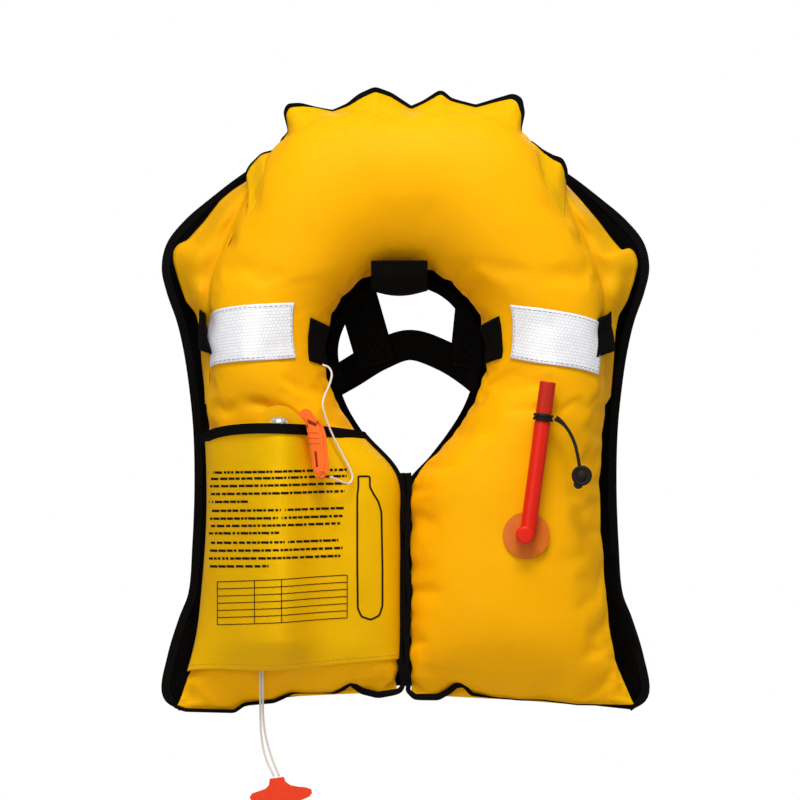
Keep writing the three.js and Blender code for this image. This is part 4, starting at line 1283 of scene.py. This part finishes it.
# ---- oral tube, cap and whistle ----
TUBE_TOP = datum(135.4, -101.8, -132)
TUBE_FOOT = datum(116.1, -246.6, -132)
TUBE_UP = (TUBE_TOP - TUBE_FOOT).normalized()
TUBE_LENGTH = (TUBE_TOP - TUBE_FOOT).length
RING_TOP = TUBE_LENGTH - 0.031
KNOB = datum(113.4, -247.4, -122)
CAP = datum(167.5, -191, -132)


def turned(name, profile, foot, axis, material, segments=48, hollow=False):
    """A lathe piece: (radius, height) pairs in metres about an axis from foot.

    A hollow one is open along its axis.
    """
    turn = axis.to_track_quat("Z", "Y").to_matrix()
    verts = []
    for radius, height in profile:
        for step in range(segments):
            angle = step / segments * 2 * math.pi
            spot = Vector((max(radius, 1e-5) * math.cos(angle), max(radius, 1e-5) * math.sin(angle), height))
            verts.append(foot + turn @ spot)
    faces = grid_faces(len(profile), segments, wrap=True)
    last = (len(profile) - 1) * segments
    if hollow:
        for step in range(segments):
            after = (step + 1) % segments
            faces.append((last + step, last + after, after, step))
    else:
        faces += [tuple(reversed(range(segments))), tuple(range(last, last + segments))]
    piece = add_mesh(name, verts, faces, material)
    recalculate(piece)
    sharpen(piece, 42)
    return piece


def rounded_rod(radius, low, high, low_round, high_round):
    """Profile of a rod with rounded ends."""
    steps = 7
    profile = []
    for step in range(steps + 1):
        angle = step / steps * math.pi / 2
        profile.append((radius - low_round * (1 - math.sin(angle)), low + low_round * (1 - math.cos(angle))))
    for step in range(steps + 1):
        angle = math.pi / 2 * (1 - step / steps)
        profile.append((radius - high_round * (1 - math.sin(angle)), high - high_round * (1 - math.cos(angle))))
    return [(0, low)] + profile + [(0, high)]


def make_tube():
    body = turned("tube_body", rounded_rod(0.0076, -0.0072, RING_TOP - 0.007, 0.0068, 0.0006), TUBE_FOOT, TUBE_UP,
                  RED_TUBE)
    finish_piece(body, replaces=("oral_tube",))
    knob = turned("tube_knob", rounded_rod(0.0086, 0.0004, 0.0185, 0.0004, 0.0030), KNOB, Vector((0, -1, 0)),
                  RED_TUBE)
    finish_piece(knob, replaces=("tube_elbow",))
    disc = [(0, 0.0020), (0.0195, 0.0019), (0.0221, 0.0012), (0.0224, 0.0003), (0.0216, -0.0006), (0, -0.0006)]
    film_disc = turned("tube_flange_film", disc, datum(114.9, -248.2, -122.0), Vector((0, -1, 0)), FILM, 72)
    finish_piece(film_disc, replaces=("tube_flange",))


def make_cap():
    ring = turned("tether_ring", [(0.0068, -0.0066), (0.0092, -0.0066), (0.0097, -0.0060), (0.0097, -0.0046),
                                  (0.0088, -0.0040), (0.0088, -0.0026), (0.0097, -0.0020), (0.0097, -0.0006),
                                  (0.0092, 0), (0.0068, 0)], TUBE_FOOT + TUBE_UP * RING_TOP, TUBE_UP, CAP_RUBBER,
                  hollow=True)
    finish_piece(ring, "cap", ("cap_tether",))
    route = spline([datum(142.5, -136.2, -132.5), datum(149, -141, -132.8), datum(155.4, -149, -132.6),
                    datum(160.6, -160, -132.3), datum(163.6, -172, -132), datum(165.6, -183.5, -132)], 40)
    widths = [lerp(0.0056, 0.0032, smoothstep(step / 39, 0, 0.35)) for step in range(40)]
    tail = strap("tether_tail", route, Vector((0, -1, 0)), widths, 0.0028, CAP_RUBBER, 0.6)
    finish_piece(tail, "cap")
    profile = [(0, -0.0045), (0.0080, -0.0045), (0.0094, -0.0036), (0.0098, 0.0024), (0.0092, 0.0040),
               (0.0080, 0.0046), (0.0072, 0.0040), (0.0052, 0.0041), (0.0046, 0.0054), (0.0036, 0.0062), (0, 0.0064)]
    cap = turned("cap_body", profile, CAP, Vector((0, -1, 0)), CAP_RUBBER)
    finish_piece(cap, "cap", ("dust_cap",))
    lobe = turned("cap_lobe", rounded_rod(0.0046, -0.0030, 0.0030, 0.0010, 0.0010),
                  CAP + Vector((-0.0032, 0, -0.0082)), Vector((0, -1, 0)), CAP_RUBBER)
    finish_piece(lobe, "cap")


WHISTLE_OUTLINE = [(-102.2, -132.5), (-98, -128.5), (-94.6, -127), (-90, -129.5), (-85, -137), (-78.4, -144),
                   (-75.4, -152.6), (-72.6, -181.4), (-74.5, -190), (-79, -195.5), (-84.5, -193), (-88, -183),
                   (-92, -156), (-94.5, -143), (-98.5, -136.5)]
WHISTLE_FRONT = -146.8


def soften(piece, name, width):
    bevel = piece.modifiers.new(name, "BEVEL")
    bevel.width = width
    bevel.segments = 3
    bevel.limit_method = "ANGLE"
    bevel.harden_normals = True
    return bevel


def flat_piece(name, outline, front, depth, material, bevel=0.0005):
    """A slab from an outline of (x, z) millimetres from the neck datum, with softened edges."""
    bm = bmesh.new()
    face = bm.faces.new([bm.verts.new(datum(x, z, front)) for x, z in outline])
    moved = bmesh.ops.extrude_face_region(bm, geom=[face])["geom"]
    bmesh.ops.translate(bm, vec=(0, depth, 0), verts=[item for item in moved if isinstance(item, bmesh.types.BMVert)])
    bmesh.ops.recalc_face_normals(bm, faces=bm.faces)
    mesh = bpy.data.meshes.new(name)
    bm.to_mesh(mesh)
    bm.free()
    mesh.materials.append(material)
    piece = bpy.data.objects.new(name, mesh)
    bpy.context.scene.collection.objects.link(piece)
    sharpen(piece, 40)
    soften(piece, "softened", bevel)
    return piece


def inset(outline, share):
    middle = (sum(x for x, _ in outline) / len(outline), sum(z for _, z in outline) / len(outline))
    return [(lerp(x, middle[0], share), lerp(z, middle[1], share * 0.45)) for x, z in outline]


def make_whistle_details():
    """Raised panel, mouth, barrel seam and lanyard ring on the whistle's face."""
    panel = flat_piece("whistle_panel", inset(WHISTLE_OUTLINE, 0.26), WHISTLE_FRONT - 0.9, 0.002,
                       WHISTLE_ORANGE, 0.0007)
    finish_piece(panel, "whistle")
    mouth = flat_piece("whistle_mouth", [(-93.5, -137.2), (-84.2, -141.4), (-84.8, -144.4), (-92.6, -141.4)],
                       WHISTLE_FRONT - 1.1, 0.001, WHISTLE_SHADE, 0.0002)
    finish_piece(mouth, "whistle")
    slit = flat_piece("whistle_slit", [(-86.6, -168), (-84.4, -168), (-83, -183), (-85.0, -183)],
                      WHISTLE_FRONT - 1.1, 0.001, WHISTLE_SHADE, 0.0002)
    finish_piece(slit, "whistle")
    for index, (x, z) in enumerate(((-88.4, -148.5), (-87.6, -153.5), (-86.8, -158.5))):
        outline = [(x - 4.2, z), (x + 5.4, z - 0.6), (x + 5.4, z - 2.0), (x - 4.2, z - 1.4)]
        rib = flat_piece(f"whistle_rib_{index}", outline, WHISTLE_FRONT - 1.6, 0.001, WHISTLE_ORANGE, 0.0004)
        finish_piece(rib, "whistle")
    ring = [Vector((math.cos(a / 12 * math.pi) * 0.0031, 0, math.sin(a / 12 * math.pi) * 0.0031))
            + datum(-79.5, -189.5, WHISTLE_FRONT - 0.7) for a in range(25)]
    finish_piece(cord_piece("whistle_eye_ring", ring, 0.0014, WHISTLE_ORANGE), "whistle")


# ---- hardware that keeps its CAD shape ----
NODE_LOOKS = {
    "manifold_flange": YELLOW_FILM, "manifold_stem": BRASS, "gasket_rear": GASKET, "gasket_front": GASKET,
    "cap_nut": CHROME, "inflator_head": BLACK_PLASTIC, "gas_bottle": BOTTLE, "lever": BLACK_PLASTIC,
    "lever_pin": STEEL, "piercing_pin": STEEL, "pull_handle": HANDLE_RED,
    "mouthpiece": MOUTH_RED, "mouth_valve": MOUTH_RED, "whistle": WHISTLE_ORANGE,
    "belt_keeper_left": ELASTIC, "belt_keeper_right": ELASTIC,
    "belt_slider": BLACK_PLASTIC, "buckle_female": BLACK_PLASTIC, "buckle_male": BLACK_PLASTIC}
ROUNDED = {"pull_handle": 0.0024, "whistle": 0.0016, "buckle_female": 0.0014, "buckle_male": 0.0012,
           "belt_slider": 0.0005, "inflator_head": 0.0009, "lever": 0.0007, "cap_nut": 0.0003}


def make_spring():
    """The pin's spring: the CAD coil copied with its own mesh and dressed in steel."""
    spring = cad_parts["pin_spring"].copy()
    spring.data = spring.data.copy()
    spring.name = "pin_spring_coil"
    bpy.context.scene.collection.objects.link(spring)
    spring.data.materials.clear()
    spring.data.materials.append(STEEL)
    sharpen(spring)
    finish_piece(spring, replaces=("pin_spring",))
    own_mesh(spring)


def dress_nodes():
    for name, look in NODE_LOOKS.items():
        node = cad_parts[name]
        node.data.materials.clear()
        node.data.materials.append(look)
        sharpen(node)
        if name in ROUNDED:
            soften(node, "rounded", ROUNDED[name]).angle_limit = math.radians(40)


# ---- finish ----
make_camera()
make_studio()
make_cords()
chamber = make_chamber()
bpy.context.view_layer.update()
CHAMBER_TREE = surface_tree(chamber)
make_crown()
make_shoulder("shoulder_cloth_left", -1, "shoulder_left")
make_shoulder("shoulder_cloth_right", 1, "shoulder_right")
make_cover()
make_bands()
make_tube()
make_cap()
make_whistle_details()
make_foot_tapes()
make_harness()
make_collar_tab()
flap = make_flap()
bpy.context.view_layer.update()
make_print(surface_tree(flap))
make_spring()
dress_nodes()
